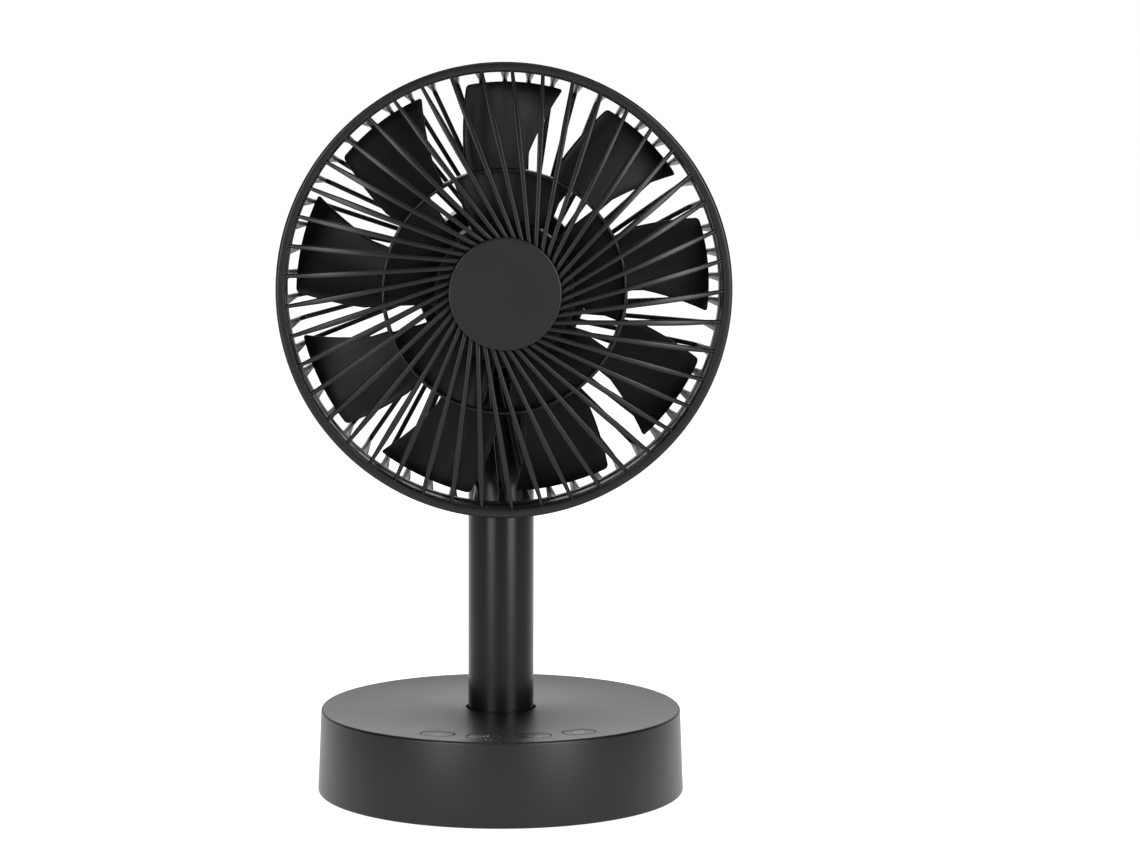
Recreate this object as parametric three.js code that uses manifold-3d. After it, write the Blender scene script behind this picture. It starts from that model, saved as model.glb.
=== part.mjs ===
// Desk fan: a round battery base, a swivelling column and a tilting caged head.
// Millimetres, +Z up. The origin is on the column's axis, on the surface that the base stands on.
// The fan blows towards -Y, and +X is on the right of a person who faces it.

import * as THREE from 'three';
import { mergeVertices } from 'three/addons/utils/BufferGeometryUtils.js';
import Module from 'manifold-3d';

const wasm = await Module();
wasm.setup();

// ---------------------------------------------------------------- driving dimensions

const FIT = 0.3; // gap kept between neighbouring pieces
const CUT = 1; // how far a cutting tool runs past the face that it cuts

const ROUND = { large: 60, medium: 32, small: 16, tiny: 8 }; // sides of round pieces

// base
const BASE_FOOT_R = 60.2;
const BASE_TOP_R = 59.1;
const BASE_TOP_Z = 28.2;
const BASE_LIP_Z = 0.8;
const BASE_EDGE_R = 0.9;
const BASE_WALL = 2;
const PLATE_LOW_Z = 1.2;
const PLATE_TOP_Z = 3.6;
const FLOOR_Z = PLATE_TOP_Z + FIT; // where the inner pieces of the base start
const CEILING_Z = BASE_TOP_Z - BASE_WALL - FIT; // where they end
const FOOT_PAD_R = 6;
const FOOT_PAD_RING_R = 47;
const FOOT_PAD_ANGLES = [50, 130, 250, 290]; // degrees round from +X
const BASE_SCREW_RING_R = 51;
const BASE_SCREW_ANGLES = [20, 160, 220, 320];

// buttons, on an arc along the front edge of the top
const BUTTON_NAMES = ['button_power', 'button_speed', 'button_swing', 'button_timer'];
const BUTTON_RING_R = 49.2;
const BUTTON_STEP = THREE.MathUtils.degToRad(18.1);
const BUTTON_TURN = THREE.MathUtils.degToRad(2); // the row's turn to the right
const BUTTON_LENGTH = 11;
const BUTTON_WIDTH = 7.2;
const BUTTON_TRAVEL = 0.6;
const BOARD_TOP_Z = 20.4;

// inside the base
const BATTERY = { r: 9.2, half: 32.5, y: 31, z: FLOOR_Z + 10.2 };
const WEIGHT_R = 46.5;
const WEIGHT_THICKNESS = 5;
const SWIVEL_MOTOR_X = -27;
const SWIVEL_MOTOR_R = 11.5;
const SWIVEL_EARS_Y = [-14.2, 14.2];
const SWIVEL_EAR_Z = [6, 7.2];

// charging inlet at the back
const INLET_Z = 11;
const INLET_WIDTH = 12.4;
const INLET_HEIGHT = 7.6;
const INLET_FLOOR_Y = 53;

// column
const COLUMN_R = 10.75;
const COLUMN_WALL = 1.4;
const COLUMN_LOW_Z = 10;
const COLUMN_TOP_Z = 137;
const COLUMN_HOLE_R = 11.5;
const BEARING_LOW_Z = 20;

// swivel gears
const GEAR_MODULE = 0.8;
const GEAR_TEETH = 36;
const PINION_TEETH = 12;
const GEAR_PRESSURE = THREE.MathUtils.degToRad(25);
const GEAR_THINNING = 0.16; // taken off each tooth's thickness, as backlash
const GEAR_LOW_Z = 10.6;
const GEAR_HIGH_Z = 14.6;
const GEAR_DISTANCE = (GEAR_MODULE * (GEAR_TEETH + PINION_TEETH)) / 2;

// head
const HEAD_Z = 168.9;
const TILT_Z = 150;
const RING_R = 71.15;
const RING_FACE = 2.7;
const RING_FRONT_Y = -50.4;
const RING_BACK_Y = -43;
const CAP_R = 17.5;
const CAP_FRONT_Y = -60;
const SPOKE_COUNT = 45;
const SPOKE_OFFSET = 8.8; // how far each spoke's line passes from the axis
const SPOKE_PHASE = THREE.MathUtils.degToRad(2.55);
const SPOKE_DEPTH = 2.6;
const RIB_COUNT = 54;
const RIB_OFFSET = 6.5;
const RIB_PHASE = THREE.MathUtils.degToRad(1.5);
const BACK_DISC_R = 27.1;
const BACK_DISC_Y = [-20, -17.3];
const REAR_RIM_R = 67.8; // the rear rim's inner radius
const RIM_BACK_Y = -34.5;
const GUARD_SCREW_R = RING_R - 1.35;
const GUARD_SCREW_ANGLES = [60, 180, 300]; // degrees clockwise from the top

// pod behind the cage, and the tilt hinge
const POD_WALL = 1.8;
const POD_FRONT_Y = BACK_DISC_Y[1] + FIT;
const POD_BACK_Y = 4;
const COVER_BACK_Y = 12.5;
const COVER_SCREWS_X = [-20, 20];
const COVER_SCREW_Z = 6;
const COVER_SCREW_SEAT_Y = 6.6;
const PIVOT_Z = TILT_Z - HEAD_Z; // the tilt axis, from the head's axis
const CHEEK_X = [7, 9];
const KNUCKLE_R = 7;
const KNUCKLE_HALF = 5.6;
const TILT_PIN_R = 2;

// impeller
const TIP_R = 64.9;
const HOOP_R = 38.3;
const HUB_R = 22.2;
const BLADE_THICKNESS = 1.3;
const OUTER_BLADES = 9;
const INNER_BLADES = 5;
const OUTER_PHASE = THREE.MathUtils.degToRad(3.15);
const INNER_PHASE = THREE.MathUtils.degToRad(76.45);
const OUTER_SPAN = THREE.MathUtils.degToRad(27);
const INNER_SPAN = THREE.MathUtils.degToRad(58);
const HUB_FRONT_Y = -53;
const HUB_BACK_Y = -30;
const HOOP_Y = [-51.7, -41.2];

// motor
const MOTOR_R = 13.5;
const SHAFT_R = 1;
const BEARING_R = 3.7;
const BELL_Y = [BACK_DISC_Y[0] - FIT - 2, BACK_DISC_Y[0] - FIT];
const CAN_Y = [-41, BELL_Y[0] - FIT];
const MOTOR_SCREWS_X = [-10, 10];

// ---------------------------------------------------------------- making and cutting solids

/** The solid that a closed geometry encloses. */
function solid(geometry) {
  const bare = geometry.clone();
  bare.deleteAttribute('normal');
  bare.deleteAttribute('uv');
  const welded = mergeVertices(bare, 1e-4);
  const corners = welded.index.array;
  const kept = [];
  for (let i = 0; i < corners.length; i += 3) {
    const [a, b, c] = [corners[i], corners[i + 1], corners[i + 2]];
    if (a !== b && b !== c && c !== a) kept.push(a, b, c);
  }
  const vertProperties = Float32Array.from(welded.attributes.position.array);
  const body = (triVerts) => new wasm.Manifold(new wasm.Mesh({ numProp: 3, vertProperties, triVerts }));
  const made = body(Uint32Array.from(kept));
  // a rule that mirrors its block leaves the faces pointing in, so their corners are reversed
  return made.volume() > 0 ? made : body(Uint32Array.from(kept).reverse());
}

/** The geometry of a solid. */
function geometryOf(body) {
  const mesh = body.getMesh();
  const geometry = new THREE.BufferGeometry();
  geometry.setAttribute('position', new THREE.BufferAttribute(mesh.vertProperties, 3));
  geometry.setIndex(new THREE.BufferAttribute(mesh.triVerts, 1));
  geometry.computeVertexNormals();
  return geometry;
}

function join(bodies) {
  return bodies.reduce((whole, body) => whole.add(body));
}

function cut(body, tools) {
  return tools.reduce((rest, tool) => rest.subtract(tool), body);
}

/** Turns a geometry made along Y so that it runs along the named axis. */
function alongAxis(geometry, axis) {
  if (axis === 'z') geometry.rotateX(Math.PI / 2);
  if (axis === 'x') geometry.rotateZ(-Math.PI / 2);
  return geometry;
}

/** A solid of revolution about an axis, from [radius, height] points listed either way round. */
function revolved(profile, axis, segments) {
  let doubledArea = 0;
  profile.forEach(([r, h], i) => {
    const [nextR, nextH] = profile[(i + 1) % profile.length];
    doubledArea += r * nextH - nextR * h;
  });
  const ordered = doubledArea > 0 ? profile : [...profile].reverse();
  const points = ordered.map(([r, h]) => new THREE.Vector2(r, h));
  const closesOnAxis = ordered[0][0] === 0 && ordered[ordered.length - 1][0] === 0;
  if (!closesOnAxis) points.push(points[0].clone());
  return solid(alongAxis(new THREE.LatheGeometry(points, segments), axis));
}

function cylinder(radius, low, high, axis, segments = ROUND.small) {
  const geometry = new THREE.CylinderGeometry(radius, radius, high - low, segments);
  geometry.translate(0, (low + high) / 2, 0);
  return solid(alongAxis(geometry, axis));
}

function ring(innerR, outerR, low, high, axis, segments = ROUND.small) {
  const profile = [[innerR, low], [outerR, low], [outerR, high], [innerR, high]];
  return revolved(profile, axis, segments);
}

function box(x, y, z) {
  const geometry = new THREE.BoxGeometry(x[1] - x[0], y[1] - y[0], z[1] - z[0]);
  geometry.translate((x[0] + x[1]) / 2, (y[0] + y[1]) / 2, (z[0] + z[1]) / 2);
  return solid(geometry);
}

/** A flat outline raised from one height to another along Z. */
function raised(outline, low, high, curveSegments = 8) {
  const settings = { depth: high - low, bevelEnabled: false, curveSegments };
  const geometry = new THREE.ExtrudeGeometry(outline, settings);
  geometry.translate(0, 0, low);
  return solid(geometry);
}

/** A block of unit size, divided into steps, with each of its points moved by a rule. */
function shapedBlock(stepsU, stepsV, rule) {
  const geometry = new THREE.BoxGeometry(1, 1, 1, stepsU, stepsV, 1);
  const position = geometry.attributes.position;
  for (let i = 0; i < position.count; i++) {
    const u = position.getX(i) + 0.5;
    const v = position.getY(i) + 0.5;
    const w = position.getZ(i) + 0.5;
    position.setXYZ(i, ...rule(u, v, w));
  }
  return solid(geometry);
}

/** A point at a radius and at an angle clockwise from the top, as seen from the front. */
function clockwise(radius, angle, y) {
  return [radius * Math.sin(angle), y, radius * Math.cos(angle)];
}

/** Copies of a solid, evenly spaced round an axis. */
function around(body, count, axis) {
  const copies = [];
  for (let k = 0; k < count; k++) {
    const turn = (360 / count) * k;
    copies.push(body.rotate(axis === 'y' ? [0, turn, 0] : [0, 0, turn]));
  }
  return copies;
}

/** The places at some angles on a ring about the column's axis. */
function onRing(radius, degrees) {
  return degrees.map((angle) => {
    const turn = THREE.MathUtils.degToRad(angle);
    return [radius * Math.cos(turn), radius * Math.sin(turn), 0];
  });
}

/** The angle of a button, measured from the front edge towards +X. */
function buttonAngle(number) {
  return BUTTON_TURN + (number - (BUTTON_NAMES.length - 1) / 2) * BUTTON_STEP;
}

/** A pill outline that lies along the button arc. */
function pill(length, width) {
  const half = (length - width) / 2;
  const outline = new THREE.Shape();
  outline.absarc(half, 0, width / 2, -Math.PI / 2, Math.PI / 2, false);
  outline.absarc(-half, 0, width / 2, Math.PI / 2, (3 * Math.PI) / 2, false);
  return outline;
}

/** Moves a solid made about the origin to a button's place, facing the front edge. */
function atButton(body, number) {
  const angle = buttonAngle(number);
  const place = [BUTTON_RING_R * Math.sin(angle), -BUTTON_RING_R * Math.cos(angle), 0];
  return body.rotate([0, 0, THREE.MathUtils.radToDeg(angle)]).translate(place);
}

// ---------------------------------------------------------------- base

function baseShell() {
  const top = BASE_TOP_Z;
  const profile = [
    [BASE_FOOT_R, BASE_LIP_Z + 0.6],
    [BASE_TOP_R, top - BASE_EDGE_R],
    [BASE_TOP_R - BASE_EDGE_R, top],
    [COLUMN_HOLE_R, top],
    [COLUMN_HOLE_R, top - BASE_WALL],
    [BASE_TOP_R - BASE_WALL, top - BASE_WALL],
    [BASE_FOOT_R - BASE_WALL, BASE_LIP_Z],
    [BASE_FOOT_R - 0.6, BASE_LIP_Z],
  ];
  const wall = revolved(profile, 'z', ROUND.large);
  const bosses = [];
  const pilotHoles = [];
  onRing(BASE_SCREW_RING_R, BASE_SCREW_ANGLES).forEach((place) => {
    const boss = cylinder(3, FLOOR_Z, top - BASE_WALL / 2, 'z', ROUND.tiny);
    bosses.push(boss.translate(place));
    pilotHoles.push(cylinder(1.3, FLOOR_Z - CUT, 12, 'z', ROUND.tiny).translate(place));
  });
  const rim = 1.4;
  const pocketX = [-INLET_WIDTH / 2 - rim, INLET_WIDTH / 2 + rim];
  const pocketZ = [INLET_Z - INLET_HEIGHT / 2 - rim, INLET_Z + INLET_HEIGHT / 2 + rim];
  const pocket = box(pocketX, [INLET_FLOOR_Y - rim, BASE_TOP_R - BASE_WALL / 2], pocketZ);
  const recess = box(
    [-INLET_WIDTH / 2, INLET_WIDTH / 2],
    [INLET_FLOOR_Y, BASE_FOOT_R + CUT],
    [INLET_Z - INLET_HEIGHT / 2, INLET_Z + INLET_HEIGHT / 2],
  );
  const mouth = box(
    [-4.3, 4.3],
    [INLET_FLOOR_Y - rim - CUT, INLET_FLOOR_Y + CUT],
    [INLET_Z - 1.8, INLET_Z + 1.8],
  );
  const windows = BUTTON_NAMES.map((_, number) => {
    const outline = pill(BUTTON_LENGTH + 2 * FIT, BUTTON_WIDTH + 2 * FIT);
    return atButton(raised(outline, top - BASE_WALL - CUT, top + CUT, 4), number);
  });
  return cut(join([wall, ...bosses, pocket]), [...pilotHoles, recess, mouth, ...windows]);
}

function basePlate() {
  const plateR = BASE_FOOT_R - BASE_WALL - 2 * FIT;
  const disc = cylinder(plateR, PLATE_LOW_Z, PLATE_TOP_Z, 'z', ROUND.large);
  const tools = [];
  onRing(BASE_SCREW_RING_R, BASE_SCREW_ANGLES).forEach((place) => {
    tools.push(cylinder(2.8, PLATE_LOW_Z - CUT, 2.5, 'z', ROUND.small).translate(place));
    tools.push(cylinder(1.4, PLATE_LOW_Z - CUT, PLATE_TOP_Z + CUT, 'z', ROUND.tiny).translate(place));
  });
  const posts = SWIVEL_EARS_Y.map((y) => {
    const post = cylinder(2.4, PLATE_TOP_Z - 0.5, 5.7, 'z', ROUND.tiny);
    return post.translate([SWIVEL_MOTOR_X, y, 0]);
  });
  const postHoles = SWIVEL_EARS_Y.map((y) => {
    return cylinder(1.2, PLATE_TOP_Z - 0.8, 5.7 + CUT, 'z', ROUND.tiny).translate([SWIVEL_MOTOR_X, y, 0]);
  });
  return cut(join([disc, ...posts]), [...tools, ...postHoles]);
}

function baseScrew() {
  const head = cylinder(2.3, 1.3, 2.2, 'z', ROUND.small);
  return head.add(cylinder(1, 2, 9, 'z', ROUND.tiny));
}

function footPad() {
  return cylinder(FOOT_PAD_R, 0, PLATE_LOW_Z - FIT, 'z', ROUND.small);
}

/** A crescent of steel plate in the front half, under the weight of the head. */
function steelWeight() {
  const plate = cylinder(WEIGHT_R, FLOOR_Z, FLOOR_Z + WEIGHT_THICKNESS, 'z', ROUND.medium);
  return plate.subtract(box([-60, 60], [-18, 60], [0, 20]));
}

function batteryCell() {
  const can = cylinder(BATTERY.r, -BATTERY.half, BATTERY.half, 'x', ROUND.small);
  const button = cylinder(3, BATTERY.half - 0.5, BATTERY.half + 1, 'x', ROUND.tiny);
  return can.add(button).translate([0, BATTERY.y, BATTERY.z]);
}

function batteryHolder() {
  const y = [BATTERY.y - BATTERY.r - 1, BATTERY.y + BATTERY.r + 1];
  const block = box([-36.5, 36.5], y, [FLOOR_Z, FLOOR_Z + 8.5]);
  const trough = cylinder(BATTERY.r + FIT, -34, 34.2, 'x', ROUND.medium);
  return block.subtract(trough.translate([0, BATTERY.y, BATTERY.z]));
}

/** A flat ring sector centred on the front edge. */
function frontSector(innerR, outerR, halfAngle) {
  const outline = new THREE.Shape();
  const middle = -Math.PI / 2;
  outline.absarc(0, 0, outerR, middle - halfAngle, middle + halfAngle, false);
  outline.absarc(0, 0, innerR, middle + halfAngle, middle - halfAngle, true);
  return outline;
}

function controlBoard() {
  const board = frontSector(38, 47.2, 0.72);
  const front = frontSector(38, 54, 0.62);
  const z = [BOARD_TOP_Z - 1.2, BOARD_TOP_Z];
  return raised(board, ...z, 8).add(raised(front, ...z, 8));
}

function tactSwitch() {
  const low = BOARD_TOP_Z + FIT;
  const body = box([-3, 3], [-3, 3], [low, low + 2]);
  return body.add(cylinder(1.6, low + 1.5, low + 2.7, 'z', ROUND.tiny));
}

/** A pill key with a flange that keeps it under the top, and a stem that meets its switch. */
function button() {
  const flangeTop = BASE_TOP_Z - BASE_WALL - FIT;
  const key = raised(pill(BUTTON_LENGTH, BUTTON_WIDTH), flangeTop - 0.4, BASE_TOP_Z, 4);
  const flange = raised(pill(BUTTON_LENGTH + 1.8, BUTTON_WIDTH + 1.8), flangeTop - 0.8, flangeTop, 4);
  const stemLow = BOARD_TOP_Z + FIT + 2.7 + BUTTON_TRAVEL + FIT;
  return join([key, flange, cylinder(1.4, stemLow, flangeTop - 0.5, 'z', ROUND.tiny)]);
}

function chargingBoard() {
  return box([-9, 9], [BATTERY.y + 10.5, INLET_FLOOR_Y - 1.7], [INLET_Z - 3.1, INLET_Z - 1.9]);
}

function usbSocket() {
  const y = INLET_FLOOR_Y;
  const z = INLET_Z;
  const shell = box([-3.9, 3.9], [y - 5.6, y + 0.2], [z - 1.5, z + 1.5]);
  const cavity = box([-3.45, 3.45], [y - 4.8, y + CUT], [z - 1.1, z + 1.1]);
  const tongue = box([-2.4, 2.4], [y - 5, y - 0.6], [z + 0.1, z + 0.6]);
  return shell.subtract(cavity).add(tongue);
}

function columnBearing() {
  const top = CEILING_Z;
  const profile = [
    [COLUMN_R + FIT, BEARING_LOW_Z],
    [14, BEARING_LOW_Z],
    [14, top - 1.5],
    [18, top - 1.5],
    [18, top],
    [COLUMN_R + FIT, top],
  ];
  return revolved(profile, 'z', ROUND.medium);
}

function swivelMotor() {
  const can = cylinder(SWIVEL_MOTOR_R, FLOOR_Z, 9.2, 'z', ROUND.medium);
  const ears = box([-3, 3], [-17, 17], SWIVEL_EAR_Z);
  const holes = SWIVEL_EARS_Y.map((y) => {
    const hole = cylinder(1.25, SWIVEL_EAR_Z[0] - CUT, SWIVEL_EAR_Z[1] + CUT, 'z', ROUND.tiny);
    return hole.translate([0, y, 0]);
  });
  const body = cut(can.add(ears), holes).translate([SWIVEL_MOTOR_X, 0, 0]);
  const nose = cylinder(3.2, 9, GEAR_LOW_Z - FIT, 'z', ROUND.small).translate([-GEAR_DISTANCE, 0, 0]);
  const spindle = cylinder(1.4, 9, GEAR_HIGH_Z, 'z', ROUND.tiny).translate([-GEAR_DISTANCE, 0, 0]);
  return join([body, nose, spindle]);
}

function swivelMotorScrew() {
  const seat = SWIVEL_EAR_Z[1] + FIT;
  const head = cylinder(2, seat, seat + 1.3, 'z', ROUND.tiny);
  return head.add(cylinder(0.9, 3.4, seat + 0.3, 'z', ROUND.tiny));
}

// ---------------------------------------------------------------- swivel gears

/** How far an involute flank has turned away from its base circle at a radius. */
function involute(baseR, radius) {
  const roll = Math.sqrt(Math.max(0, (radius / baseR) ** 2 - 1));
  return roll - Math.atan(roll);
}

/** A spur gear's outline, with teeth only where keep(angle) holds, counted from +X. */
function gearOutline(teeth, keep) {
  const pitchR = (GEAR_MODULE * teeth) / 2;
  const baseR = pitchR * Math.cos(GEAR_PRESSURE);
  const tipR = pitchR + GEAR_MODULE;
  const rootR = pitchR - 1.25 * GEAR_MODULE;
  const halfAtPitch = (Math.PI * GEAR_MODULE) / 4 - GEAR_THINNING / 2;
  const halfAtBase = halfAtPitch / pitchR + involute(baseR, pitchR);
  const startR = Math.max(baseR, rootR);
  const flank = [0, 0.3, 0.65, 1].map((t) => {
    const radius = startR + (tipR - startR) * t;
    return [radius, halfAtBase - involute(baseR, radius)];
  });
  const outline = [];
  const pitch = (2 * Math.PI) / teeth;
  const put = (radius, angle) => {
    outline.push(new THREE.Vector2(radius * Math.cos(angle), radius * Math.sin(angle)));
  };
  for (let k = 0; k < teeth; k++) {
    const middle = k * pitch;
    if (keep(middle)) {
      put(rootR, middle - flank[0][1] - 0.02);
      flank.forEach(([radius, half]) => put(radius, middle - half));
      [...flank].reverse().forEach(([radius, half]) => put(radius, middle + half));
      put(rootR, middle + flank[0][1] + 0.02);
    } else {
      put(rootR, middle);
    }
  }
  return new THREE.Shape(outline);
}

/** The column's gear: toothed only on the side that meets the pinion. */
function sectorGear() {
  const reach = THREE.MathUtils.degToRad(54);
  const toothed = raised(
    gearOutline(GEAR_TEETH, (angle) => Math.abs(angle - Math.PI) < reach),
    GEAR_LOW_Z,
    GEAR_HIGH_Z,
  );
  const collar = cylinder(13.2, GEAR_LOW_Z, 17.6, 'z', ROUND.medium);
  return toothed.add(collar).subtract(cylinder(COLUMN_R + FIT, 0, 30, 'z', ROUND.medium));
}

function swivelPinion() {
  const halfPitch = 180 / PINION_TEETH;
  const toothed = raised(gearOutline(PINION_TEETH, () => true), GEAR_LOW_Z, GEAR_HIGH_Z + 1);
  const bore = cylinder(1.4 + FIT, 0, 30, 'z', ROUND.small);
  return toothed.rotate([0, 0, halfPitch]).subtract(bore).translate([-GEAR_DISTANCE, 0, 0]);
}

// ---------------------------------------------------------------- column

function columnTube() {
  return ring(COLUMN_R - COLUMN_WALL, COLUMN_R, COLUMN_LOW_Z, COLUMN_TOP_Z, 'z', ROUND.medium);
}

/** A spring clip that stops the column from lifting out of its bearing. */
function retainingRing() {
  const clip = ring(COLUMN_R + FIT, 13.2, 18, 19.4, 'z', ROUND.medium);
  return clip.subtract(box([-3, 3], [-20, 0], [17, 21]));
}

/** The column's top: a plug in the tube, a collar, and the knuckle that the head tilts on. */
function columnNeck() {
  const plug = cylinder(COLUMN_R - COLUMN_WALL - FIT, 122, COLUMN_TOP_Z + 1, 'z', ROUND.medium);
  const collar = cylinder(COLUMN_R, COLUMN_TOP_Z + FIT, COLUMN_TOP_Z + 1.8, 'z', ROUND.medium);
  const post = box([-KNUCKLE_HALF, KNUCKLE_HALF], [-6, 6], [COLUMN_TOP_Z + 1, TILT_Z]);
  const barrel = cylinder(KNUCKLE_R, -KNUCKLE_HALF, KNUCKLE_HALF, 'x', ROUND.small);
  const reach = KNUCKLE_HALF + CUT;
  const pinHole = cylinder(TILT_PIN_R + FIT, -reach, reach, 'x', ROUND.small);
  const wireHole = cylinder(2.6, 120, COLUMN_TOP_Z + 5, 'z', ROUND.small);
  const wireSlot = box([-2.2, 2.2], [-8, 0], [COLUMN_TOP_Z + 2.4, COLUMN_TOP_Z + 5]);
  const whole = join([plug, collar, post, barrel.translate([0, 0, TILT_Z])]);
  return cut(whole, [pinHole.translate([0, 0, TILT_Z]), wireHole, wireSlot]);
}

/** The wires from the base to the head, running loosely up the column. */
function wiringLoom() {
  const route = new THREE.CatmullRomCurve3([
    new THREE.Vector3(2, 0, 13),
    new THREE.Vector3(-2.5, 1, 45),
    new THREE.Vector3(2.5, -1, 85),
    new THREE.Vector3(0, 0, 116),
    new THREE.Vector3(0, 0, 138),
  ]);
  const section = new THREE.Shape();
  section.absarc(0, 0, 1.5, 0, 2 * Math.PI, false);
  const settings = { steps: 24, curveSegments: 4, extrudePath: route };
  return solid(new THREE.ExtrudeGeometry(section, settings));
}

// ---------------------------------------------------------------- head: cage

/** The depth of the domed front, from the cap out to the ring. */
function domeY(radius) {
  const out = THREE.MathUtils.clamp((radius - CAP_R) / (RING_R - RING_FACE - CAP_R), 0, 1);
  return -49.6 - 8.6 * (1 - out ** 3.2);
}

/** The width of a spoke, fullest at two thirds of the way out. */
function spokeWidth(radius) {
  const out = THREE.MathUtils.clamp((radius - CAP_R) / (RING_R - RING_FACE - CAP_R), 0, 1);
  return 1.45 + 0.8 * Math.sin(Math.PI * out ** 1.6) ** 2;
}

/** A bar whose middle line passes the axis at an offset, from one radius to another. */
function sweptBar(steps, radii, offset, phase, widthAt, frontAt, depthAt) {
  return shapedBlock(steps, 1, (u, v, w) => {
    const radius = radii(u);
    const along = Math.sqrt(radius ** 2 - offset ** 2);
    const aside = offset + (v - 0.5) * widthAt(u, radius);
    const y = frontAt(u, radius) + (1 - w) * depthAt(u, radius);
    const x = along * Math.sin(phase) + aside * Math.cos(phase);
    const z = along * Math.cos(phase) - aside * Math.sin(phase);
    return [x, y, z];
  });
}

function frontGuard() {
  const inner = RING_R - RING_FACE;
  const rim = revolved([
    [inner, RING_FRONT_Y],
    [RING_R - 0.9, RING_FRONT_Y],
    [RING_R, RING_FRONT_Y + 1.2],
    [RING_R, RING_BACK_Y],
    [inner, RING_BACK_Y],
  ], 'y', 2 * SPOKE_COUNT);
  const hub = cylinder(CAP_R - 0.3, -58, -55.6, 'y', ROUND.medium);
  const spoke = sweptBar(
    3,
    (u) => THREE.MathUtils.lerp(CAP_R - 1.6, RING_R - 1.5, u ** 0.5),
    SPOKE_OFFSET,
    SPOKE_PHASE,
    (u, radius) => spokeWidth(radius),
    (u, radius) => domeY(radius),
    () => SPOKE_DEPTH,
  );
  const studHole = cylinder(2.9, -62, -50, 'y', ROUND.small);
  const screwHoles = guardScrewPlaces().map((place) => {
    return cylinder(0.85, RING_BACK_Y - 4.5, RING_BACK_Y + CUT, 'y', ROUND.tiny).translate(place);
  });
  return cut(join([rim, hub, ...around(spoke, SPOKE_COUNT, 'y')]), [studHole, ...screwHoles]);
}

function centerCap() {
  const disc = revolved([
    [0, CAP_FRONT_Y],
    [CAP_R - 0.7, CAP_FRONT_Y],
    [CAP_R, CAP_FRONT_Y + 0.6],
    [CAP_R, -58.3],
    [0, -58.3],
  ], 'y', ROUND.medium);
  return disc.add(cylinder(2.6, -59, -55.8, 'y', ROUND.small));
}

function guardScrewPlaces() {
  return GUARD_SCREW_ANGLES.map((degrees) => {
    return clockwise(GUARD_SCREW_R, THREE.MathUtils.degToRad(degrees), 0);
  });
}

function guardScrew() {
  const head = cylinder(1.1, -40.3, -39.3, 'y', ROUND.tiny);
  return head.add(cylinder(0.55, -47, -40, 'y', ROUND.tiny));
}

function rearGuard() {
  const frontY = RING_BACK_Y + FIT;
  const flangeBackY = frontY + 2.1;
  const rim = revolved([
    [REAR_RIM_R + 1.2, frontY],
    [RING_R - 0.2, frontY],
    [RING_R - 0.2, flangeBackY],
    [RING_R - 1.7, flangeBackY],
    [REAR_RIM_R + 1.4, RIM_BACK_Y],
    [REAR_RIM_R, RIM_BACK_Y],
  ], 'y', RIB_COUNT).rotate([0, 180 / RIB_COUNT, 0]);
  const disc = cylinder(BACK_DISC_R, ...BACK_DISC_Y, 'y', RIB_COUNT);
  const spigot = ring(22, 25, BACK_DISC_Y[1] - 0.5, -13, 'y', ROUND.medium);
  // each rib runs out across the back, turns forwards and widens into a foot on the rim
  const stations = [
    { r: 26.4, y: -20, width: 1.5, back: [0, 2.2] },
    { r: REAR_RIM_R - 3, y: -20, width: 1.5, back: [1.1, 2.2] },
    { r: REAR_RIM_R + 0.1, y: RIM_BACK_Y - 1, width: 3.1, back: [1.1, 0] },
  ];
  const rib = shapedBlock(stations.length - 1, 1, (u, v, w) => {
    const { r, y: front, width, back } = stations[Math.round(u * (stations.length - 1))];
    const radius = r + (1 - w) * back[0];
    const y = front + (1 - w) * back[1];
    const along = Math.sqrt(radius ** 2 - RIB_OFFSET ** 2);
    const aside = RIB_OFFSET + (v - 0.5) * width;
    const x = along * Math.sin(RIB_PHASE) + aside * Math.cos(RIB_PHASE);
    const z = along * Math.cos(RIB_PHASE) - aside * Math.sin(RIB_PHASE);
    return [x, y, z];
  });
  const wireHole = cylinder(4, -30, 0, 'y', ROUND.small).translate([0, 0, 16.5]);
  const shaftHole = cylinder(2.4, -30, 0, 'y', ROUND.small);
  const motorHoles = MOTOR_SCREWS_X.map((x) => {
    return cylinder(1.3, -30, 0, 'y', ROUND.tiny).translate([x, 0, 0]);
  });
  const screwHoles = guardScrewPlaces().flatMap((place) => [
    cylinder(0.85, frontY - CUT, flangeBackY + CUT, 'y', ROUND.tiny).translate(place),
    cylinder(1.5, flangeBackY, flangeBackY + 1.8, 'y', ROUND.tiny).translate(place),
  ]);
  const whole = join([rim, disc, spigot, ...around(rib, RIB_COUNT, 'y')]);
  return cut(whole, [wireHole, shaftHole, ...motorHoles, ...screwHoles]);
}

// ---------------------------------------------------------------- head: pod and tilt hinge

/** The slot that the column's knuckle swings in. */
function knuckleSlot() {
  return box([-CHEEK_X[0], CHEEK_X[0]], [-8, 11.2], [-32, PIVOT_Z + KNUCKLE_R + 0.8]);
}

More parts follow.
